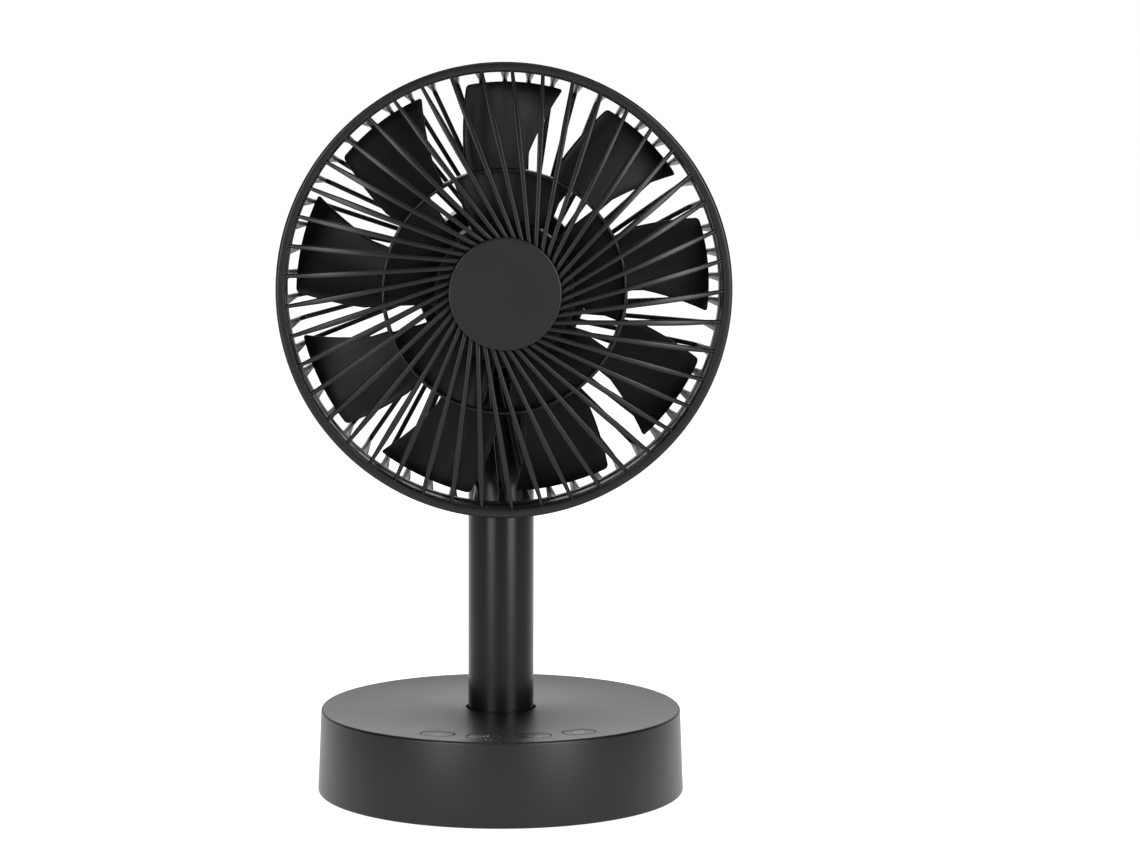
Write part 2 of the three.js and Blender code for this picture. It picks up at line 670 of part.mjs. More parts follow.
function motorPod() {
  const wall = ring(BACK_DISC_R - POD_WALL, BACK_DISC_R, POD_FRONT_Y, POD_BACK_Y, 'y', ROUND.medium);
  const inside = cylinder(BACK_DISC_R - POD_WALL / 2, POD_FRONT_Y, POD_BACK_Y, 'y', ROUND.medium);
  const cheeks = [1, -1].map((side) => {
    const x = CHEEK_X.map((edge) => edge * side).sort((a, b) => a - b);
    return box(x, [-8.5, POD_BACK_Y], [-30, PIVOT_Z + KNUCKLE_R + 1]).intersect(inside);
  });
  const posts = COVER_SCREWS_X.map((x) => {
    const ends = [x * 0.9, x * 1.35].sort((a, b) => a - b);
    return box(ends, [-6, POD_BACK_Y], [COVER_SCREW_Z - 2, COVER_SCREW_Z + 2]).intersect(inside);
  });
  const postHoles = COVER_SCREWS_X.map((x) => {
    return cylinder(1, -3, POD_BACK_Y + CUT, 'y', ROUND.tiny).translate([x, 0, COVER_SCREW_Z]);
  });
  const pinHole = cylinder(TILT_PIN_R + FIT, -20, 20, 'x', ROUND.small).translate([0, 0, PIVOT_Z]);
  return cut(join([wall, ...cheeks, ...posts]), [knuckleSlot(), pinHole, ...postHoles]);
}

function podBackCover() {
  const start = POD_BACK_Y + FIT;
  const innerBack = COVER_BACK_Y - 1.7;
  const outer = [[BACK_DISC_R, start], [26.4, 7], [23.6, 10], [17, COVER_BACK_Y], [0, COVER_BACK_Y]];
  const inner = [[0, innerBack], [16, innerBack], [22, 8.6], [BACK_DISC_R - POD_WALL, start]];
  const dome = revolved([...inner, ...outer], 'y', ROUND.medium);
  const envelope = revolved([[0, start], ...outer], 'y', ROUND.medium);
  const bosses = coverScrewPlaces().map((place) => {
    return cylinder(2.6, start, 9, 'y', ROUND.small).translate(place).intersect(envelope);
  });
  const holes = coverScrewPlaces().flatMap((place) => [
    cylinder(1.1, 0, 20, 'y', ROUND.tiny).translate(place),
    cylinder(2, COVER_SCREW_SEAT_Y, 20, 'y', ROUND.small).translate(place),
  ]);
  return cut(join([dome, ...bosses]), [knuckleSlot(), ...holes]);
}

function coverScrewPlaces() {
  return COVER_SCREWS_X.map((x) => [x, 0, COVER_SCREW_Z]);
}

function coverScrew() {
  const low = COVER_SCREW_SEAT_Y + FIT;
  const head = cylinder(1.7, low, low + 1.1, 'y', ROUND.small);
  return head.add(cylinder(0.7, -2, low + 0.3, 'y', ROUND.tiny));
}

function driverBoard() {
  return box([-15, 15], [-11, -9.8], [-8, 15]);
}

function tiltPin() {
  const shank = cylinder(TILT_PIN_R, -10.6, 9.6, 'x', ROUND.small);
  return shank.add(cylinder(3.2, 9.3, 10.6, 'x', ROUND.small)).translate([0, 0, PIVOT_Z]);
}

function tiltWasher() {
  return ring(TILT_PIN_R + FIT, 5, -0.4, 0.4, 'x', ROUND.small);
}

// ---------------------------------------------------------------- head: motor

function motorCan() {
  const side = ring(MOTOR_R - 1.2, MOTOR_R, ...CAN_Y, 'y', ROUND.medium);
  const face = ring(BEARING_R + FIT, MOTOR_R - 0.5, CAN_Y[0], CAN_Y[0] + 1.2, 'y', ROUND.medium);
  return side.add(face);
}

function motorEndBell() {
  const disc = ring(BEARING_R + FIT, MOTOR_R, ...BELL_Y, 'y', ROUND.medium);
  const holes = MOTOR_SCREWS_X.map((x) => cylinder(1.3, -30, 0, 'y', ROUND.tiny).translate([x, 0, 0]));
  return cut(disc, holes);
}

function motorStator() {
  const core = ring(9.2, 12, -38, -24, 'y', ROUND.medium);
  const notch = box([-1, 1], [-39, -23], [11.2, 13]);
  return cut(core, around(notch, 6, 'y'));
}

function motorRotor() {
  return ring(SHAFT_R + FIT, 8.8, -37.5, -24.5, 'y', ROUND.small);
}

function motorBearing(y) {
  return ring(SHAFT_R + FIT, BEARING_R, ...y, 'y', ROUND.small);
}

function motorScrew() {
  const head = cylinder(1.9, -17, -15.7, 'y', ROUND.tiny);
  return head.add(cylinder(1, -22, -16.5, 'y', ROUND.tiny));
}

// ---------------------------------------------------------------- impeller

/** A thin curved blade between two radii: middle(r) is its angle, depth(r, a) its front face. */
function blade(radii, span, middle, depth) {
  return shapedBlock(3, 3, (u, v, w) => {
    const corner = Math.abs(2 * v - 1) ** 6;
    const end = radii[1] - (radii[2] ?? 0) * corner;
    const radius = THREE.MathUtils.lerp(radii[0], end, u);
    const angle = middle(radius) + (v - 0.5) * span;
    return clockwise(radius, angle, depth(radius, v) + (1 - w) * BLADE_THICKNESS);
  });
}

function outerBlade() {
  const sweep = THREE.MathUtils.degToRad(6.3);
  const kneeR = 43.8;
  const middle = (radius) => {
    return OUTER_PHASE - sweep * THREE.MathUtils.clamp((TIP_R - radius) / (TIP_R - kneeR), 0, 1);
  };
  const depth = (radius, across) => {
    const out = (radius - HOOP_R) / (TIP_R - HOOP_R);
    const front = THREE.MathUtils.lerp(-49, -44, out);
    const back = THREE.MathUtils.lerp(-42, -32, out);
    return THREE.MathUtils.lerp(front, back, across) + 1.1 * Math.sin(Math.PI * across);
  };
  return blade([HOOP_R - 0.6, TIP_R, 1.8], OUTER_SPAN, middle, depth);
}

function innerBlade() {
  const lean = THREE.MathUtils.degToRad(3);
  const middle = (radius) => INNER_PHASE - (lean * (HOOP_R - radius)) / (HOOP_R - HUB_R);
  const depth = (radius, across) => {
    return THREE.MathUtils.lerp(-51, -42.5, across) + 0.9 * Math.sin(Math.PI * across);
  };
  return blade([HUB_R - 0.8, HOOP_R - 0.5], INNER_SPAN, middle, depth);
}

function impeller() {
  const cup = revolved([
    [3.3, HUB_FRONT_Y + 1.8],
    [3.3, -45],
    [5.4, -45],
    [5.4, HUB_FRONT_Y + 2],
    [HUB_R - 1.8, HUB_FRONT_Y + 2],
    [HUB_R - 1.8, HUB_BACK_Y],
    [HUB_R, HUB_BACK_Y],
    [HUB_R, HUB_FRONT_Y + 1.2],
    [HUB_R - 1.2, HUB_FRONT_Y],
    [0, HUB_FRONT_Y],
    [0, HUB_FRONT_Y + 1.8],
  ], 'y', ROUND.medium);
  const hoop = ring(HOOP_R - 1.1, HOOP_R, ...HOOP_Y, 'y', RIB_COUNT);
  const outers = around(outerBlade(), OUTER_BLADES, 'y');
  const inners = around(innerBlade(), INNER_BLADES, 'y');
  return join([cup, hoop, ...outers, ...inners]);
}

function hubBush() {
  return ring(SHAFT_R + FIT, 3, HUB_FRONT_Y + 2.1, -44.6, 'y', ROUND.small);
}

function motorShaft() {
  return cylinder(SHAFT_R, HUB_FRONT_Y + 2.4, BELL_Y[1] + 0.1, 'y', ROUND.tiny);
}

// ---------------------------------------------------------------- assembly

const LOOKS = {
  blackShell: { color: 0x2b2b2c, roughness: 0.55, metalness: 0 },
  blackBlade: { color: 0x1d1d1e, roughness: 0.45, metalness: 0 },
  innerPlastic: { color: 0x3a3a3c, roughness: 0.7, metalness: 0 },
  steel: { color: 0xb9bbbe, roughness: 0.35, metalness: 1 },
  darkSteel: { color: 0x6b6e72, roughness: 0.5, metalness: 1 },
  brass: { color: 0xc9a24a, roughness: 0.35, metalness: 1 },
  rubber: { color: 0x161616, roughness: 0.95, metalness: 0 },
  board: { color: 0x1f5a37, roughness: 0.6, metalness: 0 },
  wrap: { color: 0x2f6aa8, roughness: 0.4, metalness: 0 },
  nylon: { color: 0xe6e2d6, roughness: 0.6, metalness: 0 },
  wire: { color: 0x7a1414, roughness: 0.5, metalness: 0 },
};

function piece(name, body, look) {
  const mesh = new THREE.Mesh(geometryOf(body), new THREE.MeshStandardMaterial(LOOKS[look]));
  mesh.name = name;
  return mesh;
}

/** Copies of one piece, numbered from 1, each at its own place. */
function pieces(name, body, look, places) {
  return places.map((place, k) => {
    const mesh = piece(`${name}_${k + 1}`, body, look);
    mesh.position.set(...place);
    return mesh;
  });
}

function baseGroup() {
  const group = new THREE.Group();
  const padPlaces = onRing(FOOT_PAD_RING_R, FOOT_PAD_ANGLES);
  const screwPlaces = onRing(BASE_SCREW_RING_R, BASE_SCREW_ANGLES);
  const earPlaces = SWIVEL_EARS_Y.map((y) => [SWIVEL_MOTOR_X, y, 0]);
  group.add(
    piece('base_shell', baseShell(), 'blackShell'),
    piece('base_plate', basePlate(), 'blackShell'),
    ...pieces('foot_pad', footPad(), 'rubber', padPlaces),
    ...pieces('base_screw', baseScrew(), 'darkSteel', screwPlaces),
    piece('steel_weight', steelWeight(), 'darkSteel'),
    piece('battery_cell', batteryCell(), 'wrap'),
    piece('battery_holder', batteryHolder(), 'innerPlastic'),
    piece('control_board', controlBoard(), 'board'),
    piece('charging_board', chargingBoard(), 'board'),
    piece('usb_socket', usbSocket(), 'steel'),
    piece('column_bearing', columnBearing(), 'nylon'),
    piece('swivel_motor', swivelMotor(), 'steel'),
    ...pieces('swivel_motor_screw', swivelMotorScrew(), 'darkSteel', earPlaces),
    piece('swivel_pinion', swivelPinion(), 'nylon'),
  );
  BUTTON_NAMES.forEach((name, k) => {
    group.add(piece(`switch_${k + 1}`, atButton(tactSwitch(), k), 'steel'));
    group.add(piece(name, atButton(button(), k), 'blackShell'));
  });
  return group;
}

function columnGroup() {
  const group = new THREE.Group();
  group.add(
    piece('column_tube', columnTube(), 'blackShell'),
    piece('column_neck', columnNeck(), 'blackShell'),
    piece('sector_gear', sectorGear(), 'nylon'),
    piece('retaining_ring', retainingRing(), 'darkSteel'),
    piece('wiring_loom', wiringLoom(), 'wire'),
  );
  const washers = { tilt_washer_left: -1, tilt_washer_right: 1 };
  Object.entries(washers).forEach(([name, side]) => {
    const washer = piece(name, tiltWasher(), 'nylon');
    washer.position.set(side * (KNUCKLE_HALF + FIT + 0.4), 0, TILT_Z);
    group.add(washer);
  });
  return group;
}

function impellerGroup() {
  const group = new THREE.Group();
  group.add(
    piece('impeller', impeller(), 'blackBlade'),
    piece('hub_bush', hubBush(), 'brass'),
    piece('motor_shaft', motorShaft(), 'steel'),
    piece('motor_rotor', motorRotor(), 'darkSteel'),
  );
  return group;
}

function headGroup() {
  const group = new THREE.Group();
  const motorScrewPlaces = MOTOR_SCREWS_X.map((x) => [x, 0, 0]);
  group.add(
    piece('front_guard', frontGuard(), 'blackShell'),
    piece('center_cap', centerCap(), 'blackShell'),
    piece('rear_guard', rearGuard(), 'blackShell'),
    ...pieces('guard_screw', guardScrew(), 'darkSteel', guardScrewPlaces()),
    piece('motor_pod', motorPod(), 'blackShell'),
    piece('pod_back_cover', podBackCover(), 'blackShell'),
    ...pieces('cover_screw', coverScrew(), 'darkSteel', coverScrewPlaces()),
    piece('motor_can', motorCan(), 'steel'),
    piece('motor_end_bell', motorEndBell(), 'innerPlastic'),
    piece('motor_stator', motorStator(), 'darkSteel'),
    piece('motor_front_bearing', motorBearing([CAN_Y[0] - 0.4, CAN_Y[0] + 1.8]), 'brass'),
    piece('motor_rear_bearing', motorBearing(BELL_Y), 'brass'),
    ...pieces('motor_screw', motorScrew(), 'darkSteel', motorScrewPlaces),
    piece('driver_board', driverBoard(), 'board'),
    piece('tilt_pin', tiltPin(), 'steel'),
    impellerGroup(),
  );
  group.position.z = HEAD_Z;
  return group;
}

const fan = new THREE.Group();
fan.add(baseGroup(), columnGroup(), headGroup());

export default fan;
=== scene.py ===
import math

import bpy
from mathutils import Matrix, Vector


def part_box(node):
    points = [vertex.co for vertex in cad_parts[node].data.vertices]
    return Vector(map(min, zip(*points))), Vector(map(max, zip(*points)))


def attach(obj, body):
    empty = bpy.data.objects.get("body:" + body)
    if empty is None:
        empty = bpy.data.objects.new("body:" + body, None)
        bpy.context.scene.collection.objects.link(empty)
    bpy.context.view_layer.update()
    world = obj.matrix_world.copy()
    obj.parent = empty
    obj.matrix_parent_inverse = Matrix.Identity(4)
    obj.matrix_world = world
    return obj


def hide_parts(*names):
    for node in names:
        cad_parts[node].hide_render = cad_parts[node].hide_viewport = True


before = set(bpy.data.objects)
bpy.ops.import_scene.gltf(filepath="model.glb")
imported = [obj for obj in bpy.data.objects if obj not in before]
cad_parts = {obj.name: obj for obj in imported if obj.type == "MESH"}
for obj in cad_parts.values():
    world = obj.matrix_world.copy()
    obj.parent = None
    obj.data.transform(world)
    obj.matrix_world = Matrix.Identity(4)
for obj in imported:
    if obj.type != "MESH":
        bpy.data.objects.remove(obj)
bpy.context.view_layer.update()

# ---------------------------------------------------------------- sizes, in metres, from the frame

MM = 0.001
GAP = 0.3 * MM  # between neighbouring pieces

guard_low, guard_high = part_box("front_guard")
cap_low, cap_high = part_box("center_cap")
shell_low, shell_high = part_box("base_shell")
tube_low, tube_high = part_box("column_tube")
neck_low, neck_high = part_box("column_neck")
pod_low, pod_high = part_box("motor_pod")
cover_low, cover_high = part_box("pod_back_cover")
pin_low, pin_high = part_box("tilt_pin")
socket_low, socket_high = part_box("usb_socket")

ALONG = Vector((0, 1, 0))  # the head's axis runs along Y, and it blows towards -Y
UP = Vector((0, 0, 1))
HEAD = Vector((0, 0, (guard_low.z + guard_high.z) / 2))  # a point on the head's axis

BASE_R = shell_high.x
BASE_LOW = shell_low.z
BASE_TOP = shell_high.z
BASE_TOP_R = BASE_R - 1.1 * MM
BASE_WALL = 2 * MM
CEILING = BASE_TOP - BASE_WALL
COLUMN_R = tube_high.x
COLUMN_HOLE_R = COLUMN_R + 0.75 * MM
NECK_R = neck_high.x
NECK_TOP = tube_high.z + 1.8 * MM

RING_R = guard_high.x
RING_INNER_R = RING_R - 2.7 * MM
RING_FRONT = -50.4 * MM
RING_BACK = guard_high.y
CAP_R = cap_high.x
CAP_FRONT = cap_low.y
CAP_BACK = CAP_FRONT + 1.7 * MM
SPOKE_COUNT = 45
SPOKE_OFFSET = 8.8 * MM  # how far each spoke's line passes from the axis
SPOKE_PHASE = math.radians(2.55)
RIB_COUNT = 54
RIB_OFFSET = 6.5 * MM
RIB_PHASE = math.radians(1.5)
REAR_RIM_R = 67.8 * MM
RIM_BACK = -34.5 * MM
DISC_FRONT = -20 * MM
DISC_BACK = -17.3 * MM

TIP_R = 64.9 * MM
HOOP_R = 38.3 * MM
HOOP_WALL = 1.1 * MM
HOOP_FRONT = -51.7 * MM
HOOP_BACK = -41.2 * MM
HUB_R = 22.2 * MM
HUB_FRONT = -53 * MM
HUB_BACK = -30 * MM
BLADE_THICKNESS = 1.3 * MM
OUTER_BLADES = 9
OUTER_SPAN = math.radians(27)
OUTER_PHASE = 3.15  # degrees from the top to a tip's middle
INNER_BLADES = 5
INNER_SPAN = math.radians(58)
INNER_PHASE = 76.45

POD_R = pod_high.x
POD_WALL = 1.8 * MM
PIVOT = Vector((0, 0, (pin_low.z + pin_high.z) / 2))
KNUCKLE_R = 7 * MM
KNUCKLE_HALF = 5.6 * MM
PIN_HOLE_R = 2.3 * MM

BUTTONS = ("power", "speed", "swing", "timer")
BUTTON_RING_R = 49.2 * MM
BUTTON_STEP = math.radians(18.1)
BUTTON_TURN = math.radians(2)  # the row's turn to the right
BUTTON_SIZE = (11 * MM, 7.2 * MM)
PRINT_LOW = BASE_TOP - 0.02 * MM
PRINT_HIGH = BASE_TOP + 0.05 * MM


def centre_of(node):
    low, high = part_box(node)
    return (low + high) / 2


# ---------------------------------------------------------------- bench work


def deselect():
    bpy.ops.object.select_all(action="DESELECT")


def hold(piece):
    """Makes a piece the only one selected, and the active one."""
    deselect()
    piece.select_set(True)
    bpy.context.view_layer.objects.active = piece


def open_mesh(piece, kind="VERT", everything=True):
    """Goes into edit mode with all of a piece selected, or none of it."""
    hold(piece)
    bpy.ops.object.mode_set(mode="EDIT")
    bpy.ops.mesh.select_mode(type=kind)
    bpy.ops.mesh.select_all(action="SELECT" if everything else "DESELECT")


def close_mesh():
    bpy.ops.object.mode_set(mode="OBJECT")


def open_at(piece, kind, test):
    """Goes into edit mode with what passes a test selected: test(middle, normal or direction)."""
    open_mesh(piece, kind, everything=False)
    close_mesh()
    mesh = piece.data
    if kind == "VERT":
        for vertex in mesh.vertices:
            vertex.select = test(vertex.co, vertex.normal)
    elif kind == "EDGE":
        for edge in mesh.edges:
            start, end = (mesh.vertices[i].co for i in edge.vertices)
            edge.select = test((start + end) / 2, (end - start).normalized())
    else:
        for face in mesh.polygons:
            face.select = test(face.center, face.normal)
    bpy.ops.object.mode_set(mode="EDIT")


def named(name, size=None):
    """The new primitive, under its name, with its size and place put into its mesh."""
    piece = bpy.context.object
    if size:
        piece.scale = size
    piece.name = name
    piece.data.name = name
    hold(piece)
    bpy.ops.object.transform_apply(location=True, rotation=True, scale=True)
    return piece


def swing(angle, axis, centre):
    """Turns what is selected in edit mode, by the right-hand rule about X, Y or Z."""
    bpy.ops.transform.rotate(value=-angle, orient_axis=axis, center_override=centre)


def modify(piece, kind, **settings):
    hold(piece)
    modifier = piece.modifiers.new(kind.lower(), kind)
    for name, value in settings.items():
        setattr(modifier, name, value)
    bpy.ops.object.modifier_apply(modifier=modifier.name)


def soften(piece, width, segments=2, angle=40):
    """Rounds a piece's sharp edges."""
    modify(piece, "BEVEL", width=width, segments=segments, limit_method="ANGLE",
           angle_limit=math.radians(angle), use_clamp_overlap=True)


def combine(piece, operation, tools):
    for tool in tools:
        modify(piece, "BOOLEAN", operation=operation, solver="EXACT", object=tool)
        bpy.data.objects.remove(tool)


def cut(piece, *tools):
    combine(piece, "DIFFERENCE", tools)


def fuse(piece, *others):
    combine(piece, "UNION", others)


def trim(piece, *outlines):
    """Keeps only what lies inside each outline."""
    combine(piece, "INTERSECT", outlines)


def gather(piece, *others):
    """Joins pieces into the first one, each still a closed shape of its own."""
    hold(piece)
    for other in others:
        other.select_set(True)
    bpy.ops.object.join()
    return piece


def settle(piece, matrix):
    """Moves a piece and puts the move into its mesh, so that its object stays at the origin."""
    piece.matrix_world = matrix
    hold(piece)
    bpy.ops.object.transform_apply(location=True, rotation=True, scale=True)
    return piece


def place(piece, offset=(0, 0, 0), turn=0, axis="Z"):
    """Turns a piece about an axis through the origin, and then moves it."""
    return settle(piece, Matrix.Translation(Vector(offset)) @ Matrix.Rotation(turn, 4, axis))


def about_head(piece, turn):
    """Turns a piece about the head's axis, clockwise as seen from the front."""
    centre = Matrix.Translation(HEAD)
    return settle(piece, centre @ Matrix.Rotation(turn, 4, "Y") @ centre.inverted())


def repeat_round(piece, count, centre=HEAD, axis=ALONG):
    """Fills a circle with copies of all that a piece holds."""
    open_mesh(piece)
    turn = 2 * math.pi * (count - 1) / count
    bpy.ops.mesh.spin(steps=count - 1, dupli=True, angle=turn, center=centre, axis=axis)
    close_mesh()


def tidy_mesh(piece):
    """Merges doubled points and turns every face outwards."""
    open_mesh(piece)
    bpy.ops.mesh.remove_doubles(threshold=0.002 * MM)
    bpy.ops.mesh.normals_make_consistent(inside=False)
    close_mesh()


def smooth(piece, angle=32):
    hold(piece)
    bpy.ops.object.shade_smooth_by_angle(angle=math.radians(angle))


def bend(centre, radius, start, end, count=4):
    """Points on a round stretch of a profile, from one angle to another, in degrees."""
    angles = [math.radians(start + (end - start) * k / count) for k in range(count + 1)]
    return [(centre[0] + radius * math.cos(a), centre[1] + radius * math.sin(a)) for a in angles]


def turned(name, profile, axis, steps=128):
    """A turned piece: a line is drawn through a profile's points and spun round an axis.

    A profile point is (radius, height along the axis). A piece turned about Y is on the head's axis.
    The line closes on itself unless both of its ends are on the axis.
    """
    middle = Vector((0, 0, 0)) if axis == UP else HEAD
    route = [middle + Vector((radius, 0, 0)) + axis * height for radius, height in profile]
    if profile[0][0] or profile[-1][0]:
        route.append(route[0])
    deselect()
    bpy.ops.mesh.primitive_plane_add(size=MM, location=route[0])
    piece = named(name)
    open_mesh(piece)
    bpy.ops.mesh.merge(type="CENTER")
    for here, there in zip(route, route[1:]):
        bpy.ops.mesh.extrude_vertices_move(TRANSFORM_OT_translate={"value": there - here})
    bpy.ops.mesh.select_all(action="SELECT")
    bpy.ops.mesh.spin(steps=steps, angle=2 * math.pi, center=middle, axis=axis)
    close_mesh()
    tidy_mesh(piece)
    return piece


def block(name, low, high):
    """A block from its lowest corner to its highest one."""
    low, high = Vector(low), Vector(high)
    deselect()
    bpy.ops.mesh.primitive_cube_add(size=1, location=(low + high) / 2)
    return named(name, high - low)


def rod(name, radius, start, end, sides=48):
    """A round rod from one point to another."""
    start, end = Vector(start), Vector(end)
    along = end - start
    deselect()
    bpy.ops.mesh.primitive_cylinder_add(
        vertices=sides, radius=radius, depth=along.length, location=(start + end) / 2,
        rotation=along.to_track_quat("Z", "Y").to_euler())
    return named(name)


def pill(name, length, width, low, high, rounding=12):
    """A pill-shaped block on the Z axis: a block whose upright edges are rounded right off."""
    piece = block(name, (-length / 2, -width / 2, low), (length / 2, width / 2, high))
    open_at(piece, "EDGE", lambda middle, way: abs(way.z) > 0.9)
    bpy.ops.mesh.bevel(offset=width * 0.4995, segments=rounding, affect="EDGES")
    close_mesh()
    return piece


def button_angle(number):
    """The angle of a button on its arc, from the front edge towards +X."""
    return BUTTON_TURN + (number - (len(BUTTONS) - 1) / 2) * BUTTON_STEP


def at_button(piece, number):
    """Moves a piece made at the origin to a button's place, facing the front edge."""
    angle = button_angle(number)
    spot = (BUTTON_RING_R * math.sin(angle), -BUTTON_RING_R * math.cos(angle), 0)
    return place(piece, spot, angle)


# ---------------------------------------------------------------- camera, lights and floor


def set_camera():
    """A long lens a little above the head, that looks slightly down and to the right."""
    lens_mm, spot = 108.9, (-0.0224, -1.1197, 0.2493)
    yaw, pitch, roll = math.radians(2.296), math.radians(6.549), math.radians(0.195)
    data = bpy.data.cameras.new("camera")
    data.lens = lens_mm
    data.sensor_width = 36
    data.clip_start = 0.05
    level = math.cos(pitch)
    forward = Vector((math.sin(yaw) * level, math.cos(yaw) * level, -math.sin(pitch)))
    right = forward.cross(UP).normalized()
    above = right.cross(forward)
    tipped_right = right * math.cos(roll) + above * math.sin(roll)
    tipped_above = above * math.cos(roll) - right * math.sin(roll)
    turn = Matrix((tipped_right, tipped_above, -forward)).transposed()
    camera = bpy.data.objects.new("camera", data)
    camera.matrix_world = Matrix.Translation(spot) @ turn.to_4x4()
    bpy.context.scene.collection.objects.link(camera)
    bpy.context.scene.camera = camera


def softbox(name, watts, azimuth, height, distance, width, tall):
    """A soft panel that faces the fan; azimuth is in degrees from the front, towards +X."""
    data = bpy.data.lights.new(name, "AREA")
    data.shape = "RECTANGLE"
    data.size = width
    data.size_y = tall
    data.energy = watts
    turn = math.radians(azimuth)
    light = bpy.data.objects.new(name, data)
    light.location = (distance * math.sin(turn), -distance * math.cos(turn), height)
    towards = Vector((0, 0, 0.12)) - light.location
    light.rotation_euler = towards.to_track_quat("-Z", "Y").to_euler()
    light.visible_camera = False
    bpy.context.scene.collection.objects.link(light)


def set_studio():
    """White to look at and dim as a light, so that the soft panels show in the satin surfaces."""
    world = bpy.data.worlds.new("studio")
    bpy.context.scene.world = world
    world.use_nodes = True
    nodes, links = world.node_tree.nodes, world.node_tree.links
    nodes.clear()
    output = nodes.new("ShaderNodeOutputWorld")
    choose = nodes.new("ShaderNodeMixShader")
    ray = nodes.new("ShaderNodeLightPath")
    links.new(ray.outputs["Is Camera Ray"], choose.inputs["Fac"])
    for socket, strength in ((1, 0.035), (2, 1.0)):
        glow = nodes.new("ShaderNodeBackground")
        glow.inputs["Color"].default_value = (1, 1, 1, 1)
        glow.inputs["Strength"].default_value = strength
        links.new(glow.outputs["Background"], choose.inputs[socket])
    links.new(choose.outputs["Shader"], output.inputs["Surface"])
    softbox("left_panel", 19, -36, 0.45, 1.5, 0.6, 1.2)
    softbox("right_panel", 24, 35, 0.45, 1.5, 0.6, 1.2)
    softbox("top_panel", 7, 10, 1.6, 0.3, 1.2, 1.2)
    softbox("back_wall", 17, 180, 1.3, 2.4, 8, 2.6)
    softbox("back_panel", 5.6, 180, 0.56, 0.8, 1.4, 0.6)
    bpy.context.scene.view_settings.view_transform = "Standard"
    bpy.context.scene.view_settings.look = "None"


def lay_floor():
    """A pale floor that glows evenly, like a light table."""
    deselect()
    bpy.ops.mesh.primitive_circle_add(vertices=128, radius=60, fill_type="NGON", location=(0, 0, 0))
    floor = named("floor")
    material = bpy.data.materials.new("pale_floor")
    material.use_nodes = True
    shader = material.node_tree.nodes["Principled BSDF"]
    shader.inputs["Base Color"].default_value = (0.35, 0.35, 0.35, 1)
    shader.inputs["Roughness"].default_value = 0.9
    shader.inputs["Emission Color"].default_value = (1, 1, 1, 1)
    shader.inputs["Emission Strength"].default_value = 1.0
    floor.data.materials.append(material)


# ---------------------------------------------------------------- finishes


def finish(name, color, roughness, metallic=0.0, grain=0.15 * MM, relief=0.02 * MM, spread=0.06,
           shade=0.12, drift=14 * MM, squash=(1, 1, 1), **sockets):
    """A procedural finish: a fine grain in relief, and slow drifts of gloss and of colour.

    grain is the size of the texture and relief its height; spread is how far the roughness
    wanders and shade how far the colour does, over patches of the size of drift.
    """
    material = bpy.data.materials.new(name)
    material.use_nodes = True
    nodes, links = material.node_tree.nodes, material.node_tree.links
    shader = nodes["Principled BSDF"]
    shader.inputs["Metallic"].default_value = metallic
    for socket, value in sockets.items():
        shader.inputs[socket.replace("_", " ")].default_value = value
    where = nodes.new("ShaderNodeTexCoord")
    turned_pattern = nodes.new("ShaderNodeMapping")
    turned_pattern.inputs["Scale"].default_value = squash
    links.new(where.outputs["Object"], turned_pattern.inputs["Vector"])

    fine = nodes.new("ShaderNodeTexNoise")
    fine.inputs["Scale"].default_value = 1 / grain
    fine.inputs["Detail"].default_value = 2
    links.new(turned_pattern.outputs["Vector"], fine.inputs["Vector"])
    relief_node = nodes.new("ShaderNodeBump")
    relief_node.inputs["Strength"].default_value = 0.5
    relief_node.inputs["Distance"].default_value = relief
    links.new(fine.outputs["Fac"], relief_node.inputs["Height"])
    links.new(relief_node.outputs["Normal"], shader.inputs["Normal"])

    slow = nodes.new("ShaderNodeTexNoise")
    slow.inputs["Scale"].default_value = 1 / drift
    slow.inputs["Detail"].default_value = 3
    links.new(where.outputs["Object"], slow.inputs["Vector"])
    gloss = nodes.new("ShaderNodeMapRange")
    gloss.inputs["From Min"].default_value = 0.3
    gloss.inputs["From Max"].default_value = 0.7
    gloss.inputs["To Min"].default_value = max(0.02, roughness - spread)
    gloss.inputs["To Max"].default_value = roughness + spread
    links.new(slow.outputs["Fac"], gloss.inputs["Value"])
    links.new(gloss.outputs["Result"], shader.inputs["Roughness"])

    tone = nodes.new("ShaderNodeValToRGB")
    tone.color_ramp.elements[0].position = 0.3
    tone.color_ramp.elements[1].position = 0.7
    tone.color_ramp.elements[0].color = (*[c * (1 - shade) for c in color], 1)
    tone.color_ramp.elements[1].color = (*[min(1, c * (1 + shade)) for c in color], 1)
    links.new(slow.outputs["Fac"], tone.inputs["Fac"])
    links.new(tone.outputs["Color"], shader.inputs["Base Color"])
    return material


def board_finish():
    """Green board with a pattern of copper tracks under its lacquer."""
    material = finish("green_board", (0.012, 0.085, 0.035), 0.38, grain=0.4 * MM, relief=0.01 * MM)
    nodes, links = material.node_tree.nodes, material.node_tree.links
    shader = nodes["Principled BSDF"]
    where = nodes.new("ShaderNodeTexCoord")
    tracks = nodes.new("ShaderNodeTexBrick")
    tracks.inputs["Scale"].default_value = 1 / (6 * MM)
    tracks.inputs["Color1"].default_value = (0.012, 0.085, 0.035, 1)
    tracks.inputs["Color2"].default_value = (0.010, 0.070, 0.030, 1)
    tracks.inputs["Mortar"].default_value = (0.04, 0.19, 0.07, 1)
    tracks.inputs["Mortar Size"].default_value = 0.06
    links.new(where.outputs["Object"], tracks.inputs["Vector"])
    links.new(tracks.outputs["Color"], shader.inputs["Base Color"])
    return material


